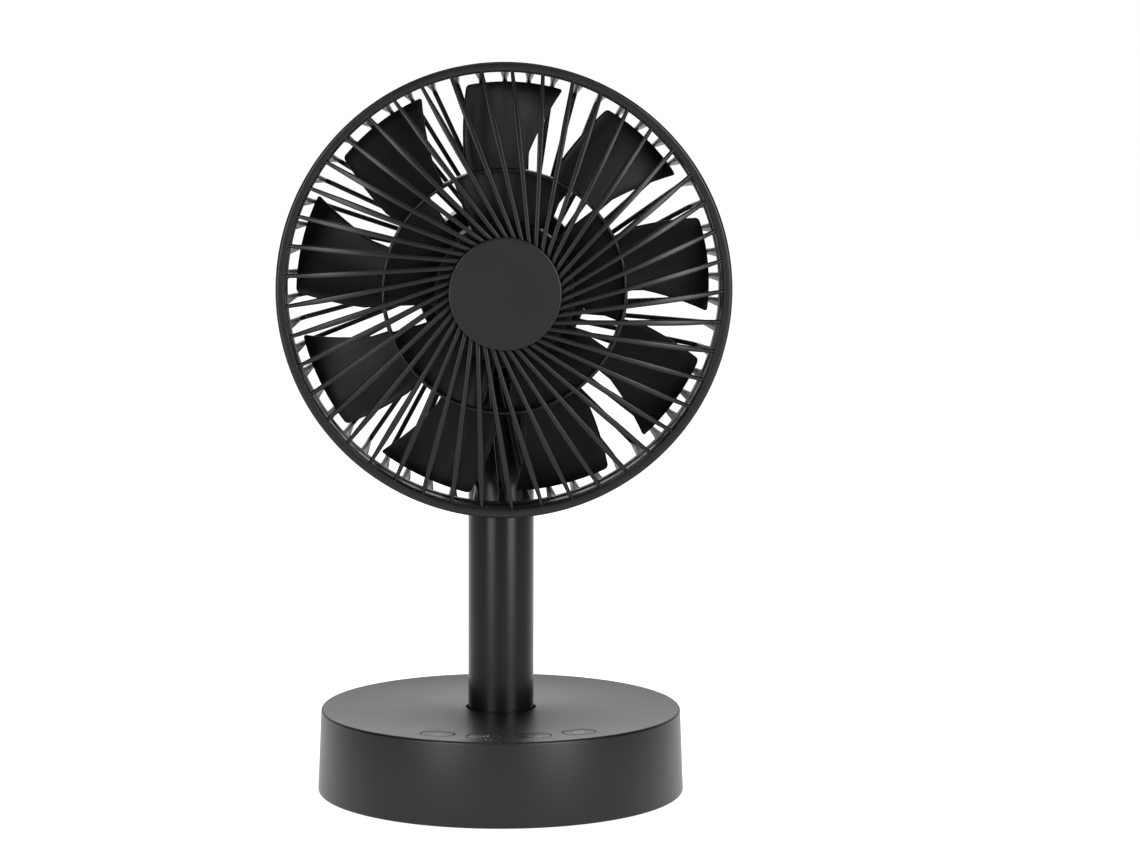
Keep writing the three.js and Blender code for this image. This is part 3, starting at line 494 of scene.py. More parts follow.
SHELL = finish("black_moulded_shell", (0.004, 0.004, 0.0042), 0.36, spread=0.01, shade=0.04,
               Specular_IOR_Level=0.31)
GUARD = finish("black_guard_plastic", (0.003, 0.003, 0.0031), 0.32, spread=0.02, shade=0.05,
               Specular_IOR_Level=0.28)
GUARD_SIDES = finish("matte_guard_sides", (0.003, 0.003, 0.003), 0.7, shade=0.05, Specular_IOR_Level=0.12)
CAP = finish("black_cap_plastic", (0.003, 0.003, 0.0031), 0.42, spread=0.02, shade=0.05,
             Specular_IOR_Level=0.25)
BLADE = finish("black_blade_plastic", (0.002, 0.002, 0.0021), 0.44, grain=0.3 * MM,
               relief=0.008 * MM, spread=0.03, shade=0.06, Specular_IOR_Level=0.15)
PAINT = finish("satin_column_paint", (0.004, 0.004, 0.0042), 0.25, grain=0.12 * MM,
               relief=0.006 * MM, spread=0.008, shade=0.04, Specular_IOR_Level=0.19)
KEYS = finish("black_key_plastic", (0.004, 0.004, 0.0042), 0.38, spread=0.01, shade=0.04,
              Specular_IOR_Level=0.32)
GREY = finish("grey_inner_plastic", (0.055, 0.055, 0.06), 0.62)
STEEL = finish("bright_steel", (0.66, 0.67, 0.68), 0.28, metallic=1.0, grain=0.5 * MM,
               relief=0.004 * MM, squash=(1, 12, 1))
BLACKED = finish("blackened_steel", (0.12, 0.123, 0.13), 0.42, metallic=1.0, grain=0.3 * MM,
                 relief=0.01 * MM)
BRASS = finish("turned_bronze", (0.62, 0.42, 0.18), 0.32, metallic=1.0, grain=0.4 * MM,
               relief=0.006 * MM, squash=(1, 10, 1))
COPPER = finish("wound_copper", (0.58, 0.25, 0.10), 0.36, metallic=1.0, grain=0.35 * MM,
                relief=0.06 * MM, squash=(1, 0.1, 1))
RUBBER = finish("black_rubber", (0.016, 0.016, 0.016), 0.82, grain=0.35 * MM, relief=0.05 * MM)
WRAP = finish("blue_cell_wrap", (0.02, 0.10, 0.30), 0.26, grain=2.5 * MM, relief=0.03 * MM)
NYLON = finish("natural_nylon", (0.74, 0.71, 0.62), 0.48, Subsurface_Weight=0.15,
               Subsurface_Scale=0.002)
WIRE = finish("red_wire_insulation", (0.28, 0.016, 0.014), 0.45, grain=0.8 * MM, relief=0.03 * MM)
PRINT = finish("pale_key_print", (0.30, 0.30, 0.31), 0.5, relief=0.004 * MM)
BOARD = board_finish()


def dress(piece, material):
    piece.data.materials.clear()
    piece.data.materials.append(material)


def fit(piece, body, slot, material, *nodes):
    """Finishes a new piece: smooth shading, material, the body it rides on, what it stands for."""
    smooth(piece)
    dress(piece, material)
    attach(piece, body)
    if nodes:
        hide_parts(*nodes)


def refinish(piece, material, test):
    """Gives a second finish to the faces that pass test(distance from the head's axis, face)."""
    piece.data.materials.append(material)
    for face in piece.data.polygons:
        if test((face.center - HEAD).xz.length, face):
            face.material_index = 1


# ---------------------------------------------------------------- small parts that repeat


def screw(name, centre, head_r, head_height, shank_r, length):
    """A pan-head screw with a cross recess; its shank runs up Z from the head, which faces down."""
    z = centre.z
    profile = [
        (0, z), (head_r * 0.55, z), *bend((head_r * 0.55, z + head_height * 0.6),
                                          head_height * 0.6, -80, 0, 3),
        (head_r, z + head_height * 0.7), (head_r, z + head_height), (shank_r, z + head_height),
        (shank_r, z + length - shank_r), (0, z + length),
    ]
    piece = turned(name, profile, UP, steps=32)
    for turn in (0, 1):
        arm = Vector((head_r * 0.62, head_r * 0.14, head_height * 0.55))
        arm = Vector((arm.y, arm.x, arm.z)) if turn else arm
        cut(piece, block("recess", (-arm.x, -arm.y, z - 1 * MM), (arm.x, arm.y, z + arm.z)))
    return place(piece, (centre.x, centre.y, 0))


def foot_pad(name, low, high):
    """A soft round pad with a domed edge and two grip rings pressed into its underside."""
    radius, height = (high.x - low.x) / 2, high.z
    lip = 0.35 * MM
    profile = [(0, 0), (radius * 0.28, 0), (radius * 0.32, 0.15 * MM), (radius * 0.38, 0.15 * MM),
               (radius * 0.42, 0), (radius * 0.62, 0), (radius * 0.66, 0.15 * MM),
               (radius * 0.72, 0.15 * MM), (radius * 0.76, 0), *bend((radius - lip, lip), lip, -90, 0),
               (radius, height), (0, height)]
    piece = turned(name, profile, UP, steps=64)
    return place(piece, ((low.x + high.x) / 2, (low.y + high.y) / 2, 0))


# ---------------------------------------------------------------- base


def base_housing():
    edge = 0.9 * MM
    lip = 0.6 * MM
    profile = [
        *bend((BASE_R - lip, BASE_LOW + lip), lip, -90, 0),
        *bend((BASE_TOP_R - edge, BASE_TOP - edge), edge, 0, 90, 6),
        *bend((COLUMN_HOLE_R + 0.15 * MM, BASE_TOP - 0.15 * MM), 0.15 * MM, 90, 180, 3),
        (COLUMN_HOLE_R, CEILING),
        (BASE_TOP_R - BASE_WALL, CEILING),
        (BASE_R - BASE_WALL, BASE_LOW),
    ]
    housing = turned("base_housing", profile, UP, steps=256)
    for number in range(1, 5):
        x, y = centre_of(f"base_screw_{number}").xy
        fuse(housing, rod("boss", 3 * MM, (x, y, 3.9 * MM), (x, y, CEILING + 1 * MM), sides=32))
        cut(housing, rod("pilot", 1.3 * MM, (x, y, 2 * MM), (x, y, 12 * MM), sides=24))
    inlet_z = (socket_low.z + socket_high.z) / 2
    floor_y = socket_high.y - 0.2 * MM
    fuse(housing, inlet_block("pocket", 7.6 * MM, 5.2 * MM, floor_y - 1.4 * MM, 58.6 * MM, inlet_z))
    cut(housing,
        inlet_block("recess", 6.2 * MM, 3.8 * MM, floor_y, 70 * MM, inlet_z),
        inlet_block("mouth", 4.3 * MM, 1.8 * MM, floor_y - 3 * MM, floor_y + 1 * MM, inlet_z))
    for number in range(len(BUTTONS)):
        length, width = (side + 2 * GAP for side in BUTTON_SIZE)
        window = pill("window", length, width, CEILING - 1 * MM, BASE_TOP + 1 * MM)
        cut(housing, at_button(window, number))
    fit(housing, "base", "black_shell", SHELL, "base_shell")


def inlet_block(name, half_width, half_height, near, far, z):
    """A block through the back wall, with its long edges rounded."""
    piece = block(name, (-half_width, near, z - half_height), (half_width, far, z + half_height))
    open_at(piece, "EDGE", lambda middle, way: abs(way.y) > 0.9)
    bpy.ops.mesh.bevel(offset=1.2 * MM, segments=4, affect="EDGES")
    close_mesh()
    return piece


def underside():
    """The base plate, with counterbored screw holes and a shallow moulded step round its edge."""
    low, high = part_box("base_plate")
    radius = high.x
    top = 3.6 * MM
    step = 0.4 * MM
    profile = [(0, low.z + step), (radius - 5 * MM, low.z + step), (radius - 5.4 * MM, low.z),
               *bend((radius - step, low.z + step), step, -90, 0, 3), (radius, top), (0, top)]
    plate = turned("base_underplate", profile, UP, steps=128)
    for number in range(1, 5):
        x, y = centre_of(f"base_screw_{number}").xy
        cut(plate,
            rod("bore", 2.8 * MM, (x, y, 0), (x, y, 2.5 * MM)),
            rod("hole", 1.4 * MM, (x, y, 0), (x, y, 6 * MM), sides=24))
    fit(plate, "base", "black_shell", SHELL, "base_plate")
    for number in range(1, 5):
        node = f"foot_pad_{number}"
        fit(foot_pad(f"rubber_{node}", *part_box(node)), "base", "rubber", RUBBER, node)
        node = f"base_screw_{number}"
        head_low, head_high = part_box(node)
        start = Vector((*centre_of(node).xy, head_low.z))
        fastener = screw(f"pan_{node}", start, 2.3 * MM, 0.9 * MM, 1 * MM, head_high.z - head_low.z)
        fit(fastener, "base", "dark_steel", BLACKED, node)


def charging_socket():
    """A micro-USB socket: a steel shell with its lower corners sloped off, and a tongue inside."""
    depth = socket_high.y - socket_low.y
    shell = block("charging_socket", socket_low, socket_high)
    for z, offset, segments in ((socket_low.z, 0.8 * MM, 1), (socket_high.z, 0.3 * MM, 3)):
        open_at(shell, "EDGE", lambda spot, way: abs(way.y) > 0.9 and abs(spot.z - z) < 0.1 * MM)
        bpy.ops.mesh.bevel(offset=offset, segments=segments, affect="EDGES")
        close_mesh()
    open_at(shell, "FACE", lambda middle, normal: normal.y > 0.9)
    bpy.ops.mesh.inset(thickness=0.32 * MM)
    bpy.ops.mesh.extrude_region_move(TRANSFORM_OT_translate={"value": (0, -depth * 0.85, 0)})
    close_mesh()
    middle = (socket_low + socket_high) / 2
    tongue = block("tongue", (-2.2 * MM, socket_low.y + 0.5 * MM, middle.z + 0.05 * MM),
                   (2.2 * MM, socket_high.y - 0.8 * MM, middle.z + 0.6 * MM))
    soften(tongue, 0.12 * MM)
    gather(shell, tongue)
    fit(shell, "base", "steel", STEEL, "usb_socket")


def arc_line(name, radius, width, sweep, low, high):
    """A raised line along an arc about the Z axis, from the top (+Y) clockwise and on both sides."""
    deselect()
    bpy.ops.mesh.primitive_plane_add(size=1, location=(radius, 0, (low + high) / 2),
                                     rotation=(math.pi / 2, 0, 0))
    piece = named(name, (width, high - low, 1))
    open_mesh(piece, "FACE")
    bpy.ops.mesh.spin(steps=28, angle=sweep, center=(0, 0, 0), axis=(0, 0, 1))
    close_mesh()
    tidy_mesh(piece)
    return piece


def line(name, x, y, low, high):
    return block(name, (x[0], y[0], low), (x[1], y[1], high))


def icon(kind, low, high):
    """A generic sign, printed in the middle of a key."""
    name = f"{kind}_sign"
    radius, width = 1.5 * MM, 0.3 * MM
    half = width / 2
    if kind == "power":
        ring = arc_line(name, radius, width, math.radians(280), low, high)
        stroke = line("stroke", (-half, half), (0.2 * MM, 2 * MM), low, high)
        return gather(place(ring, turn=math.radians(-230)), stroke)
    if kind == "speed":
        bars = [line(name, (k * MM - half, k * MM + half), (-1.5 * MM, (k * 0.9 - 0.6) * MM), low, high)
                for k in range(3)]
        return place(gather(*bars), (-1 * MM, 0, 0))
    if kind == "swing":
        arch = arc_line(name, radius * 1.2, width, math.radians(130), low, high)
        arch = place(arch, (0, -1.1 * MM, 0), math.radians(25))
        heads = []
        for side in (1, -1):
            deselect()
            bpy.ops.mesh.primitive_cylinder_add(vertices=3, radius=0.6 * MM, depth=high - low)
            head = named("arrow_head")
            tip = (side * 1.6 * MM, -0.4 * MM, (low + high) / 2)
            heads.append(place(head, tip, math.radians(180 + side * 20)))
        return gather(arch, *heads)
    dial = turned(name, [(radius - half, low), (radius + half, low), (radius + half, high),
                         (radius - half, high)], UP, steps=48)
    return gather(dial, line("hand", (-half, half), (0, 1 * MM), low, high),
                  line("short_hand", (0, 0.8 * MM), (-half, half), low, high))


def keys():
    """Four pill-shaped keys, each with a flange under the top, a stem, and a printed sign."""
    shoulder = CEILING - GAP
    stem_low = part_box("button_power")[0].z
    for number, kind in enumerate(BUTTONS):
        key = pill(f"{kind}_key_cap", *BUTTON_SIZE, shoulder - 0.4 * MM, BASE_TOP)
        soften(key, 0.3 * MM, segments=3)
        fuse(key,
             pill("flange", 12.8 * MM, 9 * MM, shoulder - 0.8 * MM, shoulder),
             rod("stem", 1.4 * MM, (0, 0, stem_low), (0, 0, shoulder - 0.5 * MM), sides=24))
        fit(at_button(key, number), f"{kind}_key", "black_shell", KEYS, f"button_{kind}")
        sign = at_button(icon(kind, PRINT_LOW, PRINT_HIGH), number)
        fit(sign, f"{kind}_key", "black_shell", PRINT)


def level_dots():
    """Tiny printed dots on the top, between the middle keys and the front edge."""
    for number in (1, 2):
        dots = []
        for k in range(4):
            name = f"{BUTTONS[number]}_dots"
            dot = rod(name, 0.28 * MM, (0, 0, PRINT_LOW), (0, 0, PRINT_HIGH), sides=16)
            dots.append(place(dot, ((k - 1.5) * 1.7 * MM, -5.0 * MM, 0)))
        fit(at_button(gather(*dots), number), "base", "black_shell", PRINT)


# ---------------------------------------------------------------- column


def column():
    low, high = tube_low.z, tube_high.z
    wall = 1.4 * MM
    edge = 0.4 * MM
    profile = [(COLUMN_R - wall, low), (COLUMN_R, low), *bend((COLUMN_R - edge, high - edge), edge, 0, 90),
               (COLUMN_R - wall, high)]
    tube = turned("column_post", profile, UP, steps=160)
    fit(tube, "column", "black_shell", PAINT, "column_tube")


def tilt_knuckle():
    """The neck: a plug in the tube, a collar, and a post that ends in a round knuckle."""
    collar_low = tube_high.z + GAP
    edge = 0.4 * MM
    plug_r = COLUMN_R - 1.7 * MM
    profile = [
        (0, neck_low.z), (plug_r - edge, neck_low.z), (plug_r, neck_low.z + edge), (plug_r, collar_low),
        (NECK_R - edge, collar_low), (NECK_R, collar_low + edge),
        *bend((NECK_R - edge, NECK_TOP - edge), edge, 0, 90, 3), (0, NECK_TOP),
    ]
    neck = turned("tilt_knuckle", profile, UP, steps=96)
    half = KNUCKLE_HALF - 0.15 * MM
    post = block("post", (-half, -6 * MM, NECK_TOP - 1 * MM), (half, 6 * MM, PIVOT.z))
    open_at(post, "EDGE", lambda middle, way: abs(way.z) > 0.9)
    bpy.ops.mesh.bevel(offset=1.2 * MM, segments=4, affect="EDGES")
    close_mesh()
    barrel = rod("barrel", KNUCKLE_R, PIVOT - Vector((KNUCKLE_HALF, 0, 0)),
                 PIVOT + Vector((KNUCKLE_HALF, 0, 0)), sides=64)
    soften(barrel, 0.5 * MM, segments=3)
    fuse(neck, post, barrel)
    reach = Vector((8 * MM, 0, 0))
    cut(neck,
        rod("pin_hole", PIN_HOLE_R, PIVOT - reach, PIVOT + reach),
        rod("wire_hole", 2.6 * MM, (0, 0, neck_low.z - 2 * MM), (0, 0, tube_high.z + 5 * MM), sides=32),
        block("wire_slot", (-2.2 * MM, -8 * MM, tube_high.z + 2.4 * MM),
              (2.2 * MM, 0, tube_high.z + 5 * MM)))
    fit(neck, "column", "black_shell", SHELL, "column_neck")


def tilt_hinge():
    """The pin through the knuckle, and a washer on each side of it."""
    low, high = pin_low.x, pin_high.x
    head = 1.3 * MM
    profile = [(0, low), (1.6 * MM, low), (2 * MM, low + 0.4 * MM), (2 * MM, high - head),
               (3.2 * MM, high - head), *bend((2.6 * MM, high - 0.6 * MM), 0.6 * MM, 0, 90, 3), (0, high)]
    pin = turned_across("tilt_pin_steel", profile)
    fit(pin, "head", "steel", STEEL, "tilt_pin")
    for side in ("left", "right"):
        node = f"tilt_washer_{side}"
        low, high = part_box(node)
        edge = 0.15 * MM
        outer = 5 * MM
        profile = [(PIN_HOLE_R, low.x), (outer - edge, low.x), (outer, low.x + edge),
                   (outer, high.x - edge), (outer - edge, high.x), (PIN_HOLE_R, high.x)]
        fit(turned_across(f"nylon_{node}", profile), "column", "nylon", NYLON, node)


def turned_across(name, profile):
    """A piece turned about the tilt axis, which runs along X."""
    return place(turned(name, profile, UP, steps=48), PIVOT, math.pi / 2, "Y")


# ---------------------------------------------------------------- cage


def share_out(radius, start, end):
    """How far a radius is on its way from a start to an end, from 0 to 1."""
    return min(1, max(0, (radius - start) / (end - start)))


def dome_front(radius):
    """Where the front of the spokes lies, from the cap out to the ring."""
    return (-49.6 - 8.6 * (1 - share_out(radius, CAP_R, RING_INNER_R) ** 3.2)) * MM


def spoke_width(radius):
    """A spoke is fullest at two thirds of the way out, and slim where it meets the ring."""
    out = share_out(radius, CAP_R, RING_INNER_R)
    return (1.42 - 0.3 * out ** 4 + 0.5 * math.sin(math.pi * out ** 2) ** 2) * MM


def swept_spoke():
    """One spoke: a face is drawn out along the dome, widening and narrowing, with softened edges."""
    depth = 2.6 * MM
    start_r, end_r, steps = CAP_R - 1.6 * MM, RING_INNER_R - 0.1 * MM, 14
    radii = [start_r + (end_r - start_r) * (k / steps) ** 0.75 for k in range(steps + 1)]
    stations = [(radius, dome_front(radius), spoke_width(radius)) for radius in radii]
    stations.append((RING_INNER_R + 1.5 * MM, RING_FRONT - 0.35 * MM, 1.12 * MM))

    def middle(radius, front):
        along = math.sqrt(radius ** 2 - SPOKE_OFFSET ** 2)
        return HEAD + Vector((SPOKE_OFFSET, front + depth / 2, along))

    radius, front, width = stations[0]
    deselect()
    bpy.ops.mesh.primitive_plane_add(size=1, location=middle(radius, front))
    spoke = named("spoke", (width, depth, 1))
    open_mesh(spoke, "FACE")
    for (r, y, w), (next_r, next_y, next_w) in zip(stations, stations[1:]):
        here, there = middle(r, y), middle(next_r, next_y)
        bpy.ops.mesh.extrude_region_move(TRANSFORM_OT_translate={"value": there - here})
        bpy.ops.transform.resize(value=(next_w / w, 1, 1), center_override=there)
    close_mesh()
    tidy_mesh(spoke)
    soften(spoke, 0.42 * MM, segments=4)
    repeat_round(spoke, SPOKE_COUNT)
    return about_head(spoke, SPOKE_PHASE)


def front_grille():
    lip, edge = 0.22 * MM, 0.95 * MM
    profile = [
        (RING_INNER_R, RING_BACK),
        *bend((RING_INNER_R + lip, RING_FRONT + lip), lip, 180, 270, 3),
        *bend((RING_R - edge, RING_FRONT + edge), edge, -90, 0, 6),
        (RING_R, RING_BACK - 0.2 * MM),
        (RING_R - 0.2 * MM, RING_BACK),
    ]
    grille = turned("front_grille", profile, ALONG, steps=270)
    hub_r = CAP_R - 0.3 * MM
    hub = turned("hub", [(2.9 * MM, -58 * MM), (hub_r, -58 * MM), (hub_r, -56 * MM),
                         (hub_r - 0.4 * MM, -55.6 * MM), (2.9 * MM, -55.6 * MM)], ALONG, steps=96)
    fuse(grille, swept_spoke(), hub)
    fit(grille, "head", "black_shell", GUARD, "front_guard")
    refinish(grille, GUARD_SIDES,
             lambda out, face: abs(face.normal.y) < 0.35 and out < RING_R - 1 * MM)


def cap():
    """The plain round cap in the middle of the grille, pressed in by a stud."""
    chamfer = 0.45 * MM
    profile = [
        (0, CAP_FRONT), (CAP_R - chamfer - 0.3 * MM, CAP_FRONT),
        *bend((CAP_R - chamfer, CAP_FRONT + chamfer), chamfer, -90, 0, 4),
        (CAP_R, CAP_BACK), (2.6 * MM, CAP_BACK), (2.6 * MM, cap_high.y - 0.4 * MM),
        (2.2 * MM, cap_high.y), (0, cap_high.y),
    ]
    disc = turned("grille_cap", profile, ALONG, steps=160)
    fit(disc, "head", "black_shell", CAP, "center_cap")
    refinish(disc, GUARD, lambda out, face: out > CAP_R - chamfer - 0.3 * MM)


def swept_rib():
    """One rib: it runs out across the back, turns forwards and widens into a foot on the rim."""
    width, foot_width, depth, corner = 1.5 * MM, 3.1 * MM, 2.2 * MM, 2.5 * MM
    along = [math.sqrt((r * MM) ** 2 - RIB_OFFSET ** 2) for r in (26.4, 62.8)]
    start = HEAD + Vector((RIB_OFFSET, DISC_FRONT + depth / 2, along[0]))
    deselect()
    bpy.ops.mesh.primitive_plane_add(size=1, location=start)
    rib = named("rib", (width, depth, 1))
    open_mesh(rib, "FACE")
    bpy.ops.mesh.extrude_region_move(TRANSFORM_OT_translate={"value": (0, 0, along[1] - along[0])})
    hinge = HEAD + Vector((RIB_OFFSET, DISC_FRONT - corner, along[1]))
    bpy.ops.mesh.spin(steps=5, angle=-math.pi / 2, center=hinge, axis=(1, 0, 0))
    foot_r = math.sqrt((REAR_RIM_R + 0.65 * MM) ** 2 - RIB_OFFSET ** 2)
    end = HEAD + Vector((RIB_OFFSET, RIM_BACK - 1 * MM, foot_r))
    here = HEAD + Vector((RIB_OFFSET, DISC_FRONT - corner, along[1] + corner + depth / 2))
    bpy.ops.mesh.extrude_region_move(TRANSFORM_OT_translate={"value": end - here})
    bpy.ops.transform.resize(value=(foot_width / width, 1, 0.5), center_override=end)
    close_mesh()
    tidy_mesh(rib)
    soften(rib, 0.25 * MM, segments=2, angle=50)
    repeat_round(rib, RIB_COUNT)
    return about_head(rib, RIB_PHASE)


def motor_screw_holes():
    """Two long rods that leave the motor screws' clearance holes."""
    depth = 40 * MM * ALONG
    holes = []
    for number in (1, 2):
        centre = Vector((centre_of(f"motor_screw_{number}").x, 0, HEAD.z))
        holes.append(rod("motor_hole", 1.3 * MM, centre - depth, centre + depth, sides=24))
    return holes


def rear_basket():
    front = RING_BACK + GAP
    flange_back = front + 2.1 * MM
    soft = 0.3 * MM
    rim_profile = [
        (REAR_RIM_R + 1.2 * MM, front), (RING_R - 0.4 * MM, front), (RING_R - 0.2 * MM, front + 0.2 * MM),
        *bend((RING_R - 0.2 * MM - soft, flange_back - soft), soft, 0, 90, 3),
        (REAR_RIM_R + 1.7 * MM, flange_back),
        *bend((REAR_RIM_R + 1.4 * MM - soft, RIM_BACK - soft), soft, 0, 90, 3),
        *bend((REAR_RIM_R + soft, RIM_BACK - soft), soft, 90, 180, 3),
        (REAR_RIM_R, RIM_BACK - 3.2 * MM), (REAR_RIM_R + 0.45 * MM, RIM_BACK - 3.4 * MM),
    ]
    basket = turned("rear_basket", rim_profile, ALONG, steps=270)
    radius = POD_R
    groove = 0.5 * MM
    disc_profile = [
        (2.4 * MM, DISC_FRONT), (radius - 3 * MM, DISC_FRONT), (radius - 2.6 * MM, DISC_FRONT + groove),
        (radius - 2 * MM, DISC_FRONT + groove), (radius - 1.6 * MM, DISC_FRONT),
        (radius - 0.4 * MM, DISC_FRONT), (radius, DISC_FRONT + 0.4 * MM), (radius, DISC_BACK - 0.2 * MM),
        (radius - 0.2 * MM, DISC_BACK), (25 * MM, DISC_BACK), (25 * MM, -13 * MM), (22 * MM, -13 * MM),
        (22 * MM, DISC_BACK), (2.4 * MM, DISC_BACK),
    ]
    disc = turned("disc", disc_profile, ALONG, steps=162)
    fuse(basket, swept_rib(), disc)
    wire_hole = HEAD + Vector((0, 0, 16.5 * MM))
    depth = 40 * MM * ALONG
    cut(basket, rod("wire_hole", 4 * MM, wire_hole - depth, wire_hole + depth))
    cut(basket, *motor_screw_holes())
    for number in (1, 2, 3):
        centre = centre_of(f"guard_screw_{number}")
        centre.y = 0
        cut(basket,
            rod("screw_hole", 0.85 * MM, centre + ALONG * (front - 1 * MM),
                centre + ALONG * (flange_back + 1 * MM), 24),
            rod("screw_seat", 1.5 * MM, centre + ALONG * (flange_back - 0.05 * MM),
                centre + ALONG * (flange_back + 1.8 * MM), 32))
    fit(basket, "head", "black_shell", GUARD, "rear_guard")


def screw_from_behind(name, node, head_r, head_height, shank_r):
    """A screw whose head faces backwards, at the place of its node."""
    low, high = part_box(node)
    piece = screw(name, Vector((0, 0, 0)), head_r, head_height, shank_r, high.y - low.y)
    start = centre_of(node)
    start.y = high.y
    fit(place(piece, start, math.pi / 2, "X"), "head", "dark_steel", BLACKED, node)


def cage_screws():
    for number in (1, 2, 3):
        node = f"guard_screw_{number}"
        screw_from_behind(f"small_{node}", node, 1.1 * MM, 1 * MM, 0.55 * MM)
    for number in (1, 2):
        node = f"cover_screw_{number}"
        screw_from_behind(f"pod_{node}", node, 1.7 * MM, 1.1 * MM, 0.7 * MM)


# ---------------------------------------------------------------- pod behind the cage


def knuckle_slot():
    """The space that the knuckle swings in, with rounded corners."""
    top = PIVOT.z + KNUCKLE_R + 0.8 * MM
    slot = block("knuckle_slot", (-7 * MM, -8 * MM, HEAD.z - 32 * MM), (7 * MM, 11.2 * MM, top))
    open_at(slot, "EDGE", lambda middle, way: abs(way.x) > 0.9 and middle.z > top - 1 * MM)
    bpy.ops.mesh.bevel(offset=3 * MM, segments=6, affect="EDGES")
    close_mesh()
    return slot


def motor_housing():
    front, back = pod_low.y, pod_high.y
    inner_r = POD_R - POD_WALL
    edge = 0.4 * MM
    profile = [(inner_r, front), (POD_R - edge, front), (POD_R, front + edge), (POD_R, back - edge),
               (POD_R - edge, back), (inner_r, back)]
    pod = turned("motor_housing", profile, ALONG, steps=160)
    top = PIVOT.z + KNUCKLE_R + 1 * MM
    for side in (-1, 1):
        left, right = sorted((side * 7 * MM, side * 9 * MM))
        cheek = block("cheek", (left, -8.5 * MM, HEAD.z - 30 * MM), (right, back, top))
        trim(cheek, rod("outline", POD_R - POD_WALL / 2, HEAD + ALONG * front, HEAD + ALONG * back,
                        sides=96))
        fuse(pod, cheek)
    for number in (1, 2):
        x, z = centre_of(f"cover_screw_{number}").xz
        post = rod("post", 2.6 * MM, (x, -6 * MM, z), (x, back, z), sides=32)
        web = block("web", (min(x, x * 1.3), -6 * MM, z - 0.8 * MM), (max(x, x * 1.3), back, z + 0.8 * MM))
        fuse(pod, post, web)
        cut(pod, rod("pilot", 1 * MM, (x, -3 * MM, z), (x, back + 1 * MM, z), sides=24))
    reach = Vector((12 * MM, 0, 0))
    cut(pod, knuckle_slot(), rod("pin_hole", PIN_HOLE_R, PIVOT - reach, PIVOT + reach))
    fit(pod, "head", "black_shell", SHELL, "motor_pod")


def back_cover():
    """The pod's domed back, with two sunk screws, and a slot for the knuckle."""
    start, back = cover_low.y, cover_high.y
    lip = 0.3 * MM
    shoulder = back - start - lip
    middle = (POD_R - shoulder, start + lip)
    profile = [
        (0, back - POD_WALL), *bend(middle, shoulder - POD_WALL, 90, 0, 8),
        (POD_R - POD_WALL, start), (POD_R - lip, start), *bend(middle, shoulder, 0, 90, 10), (0, back),
    ]
    cover = turned("pod_back_shell", profile, ALONG, steps=160)
    for number in (1, 2):
        x, z = centre_of(f"cover_screw_{number}").xz
        fuse(cover, rod("boss", 2.6 * MM, (x, start, z), (x, 8.6 * MM, z), sides=32))
        cut(cover,
            rod("hole", 1.1 * MM, (x, 0, z), (x, 20 * MM, z), sides=32),
            rod("seat", 2 * MM, (x, 6.6 * MM, z), (x, 20 * MM, z), sides=48))
    cut(cover, knuckle_slot())
    fit(cover, "head", "black_shell", SHELL, "pod_back_cover")


# ---------------------------------------------------------------- motor


def motor():
    low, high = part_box("motor_can")
    radius = high.x
    edge = 0.8 * MM
    profile = [(4 * MM, low.y), *bend((radius - edge, low.y + edge), edge, -90, 0, 4),
               (radius, high.y), (radius - 1.2 * MM, high.y), (radius - 1.2 * MM, low.y + 1.2 * MM),
               (4 * MM, low.y + 1.2 * MM)]
    can = turned("motor_can_steel", profile, ALONG, steps=96)
    for k in range(4):
        vent = block("vent", (-2.2 * MM, low.y - 1 * MM, HEAD.z + 6.5 * MM),
                     (2.2 * MM, low.y + 2 * MM, HEAD.z + 9 * MM))
        cut(can, about_head(vent, k * math.pi / 2))
    fit(can, "head", "steel", STEEL, "motor_can")
    low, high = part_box("motor_end_bell")
    profile = [(4 * MM, low.y), (radius - 0.2 * MM, low.y), (radius, low.y + 0.2 * MM),
               (radius, high.y - 0.2 * MM), (radius - 0.2 * MM, high.y), (4 * MM, high.y)]
    bell = turned("motor_end_plate", profile, ALONG, steps=96)
    cut(bell, *motor_screw_holes())
    fit(bell, "head", "inner_plastic", GREY, "motor_end_bell")


# ---------------------------------------------------------------- impeller


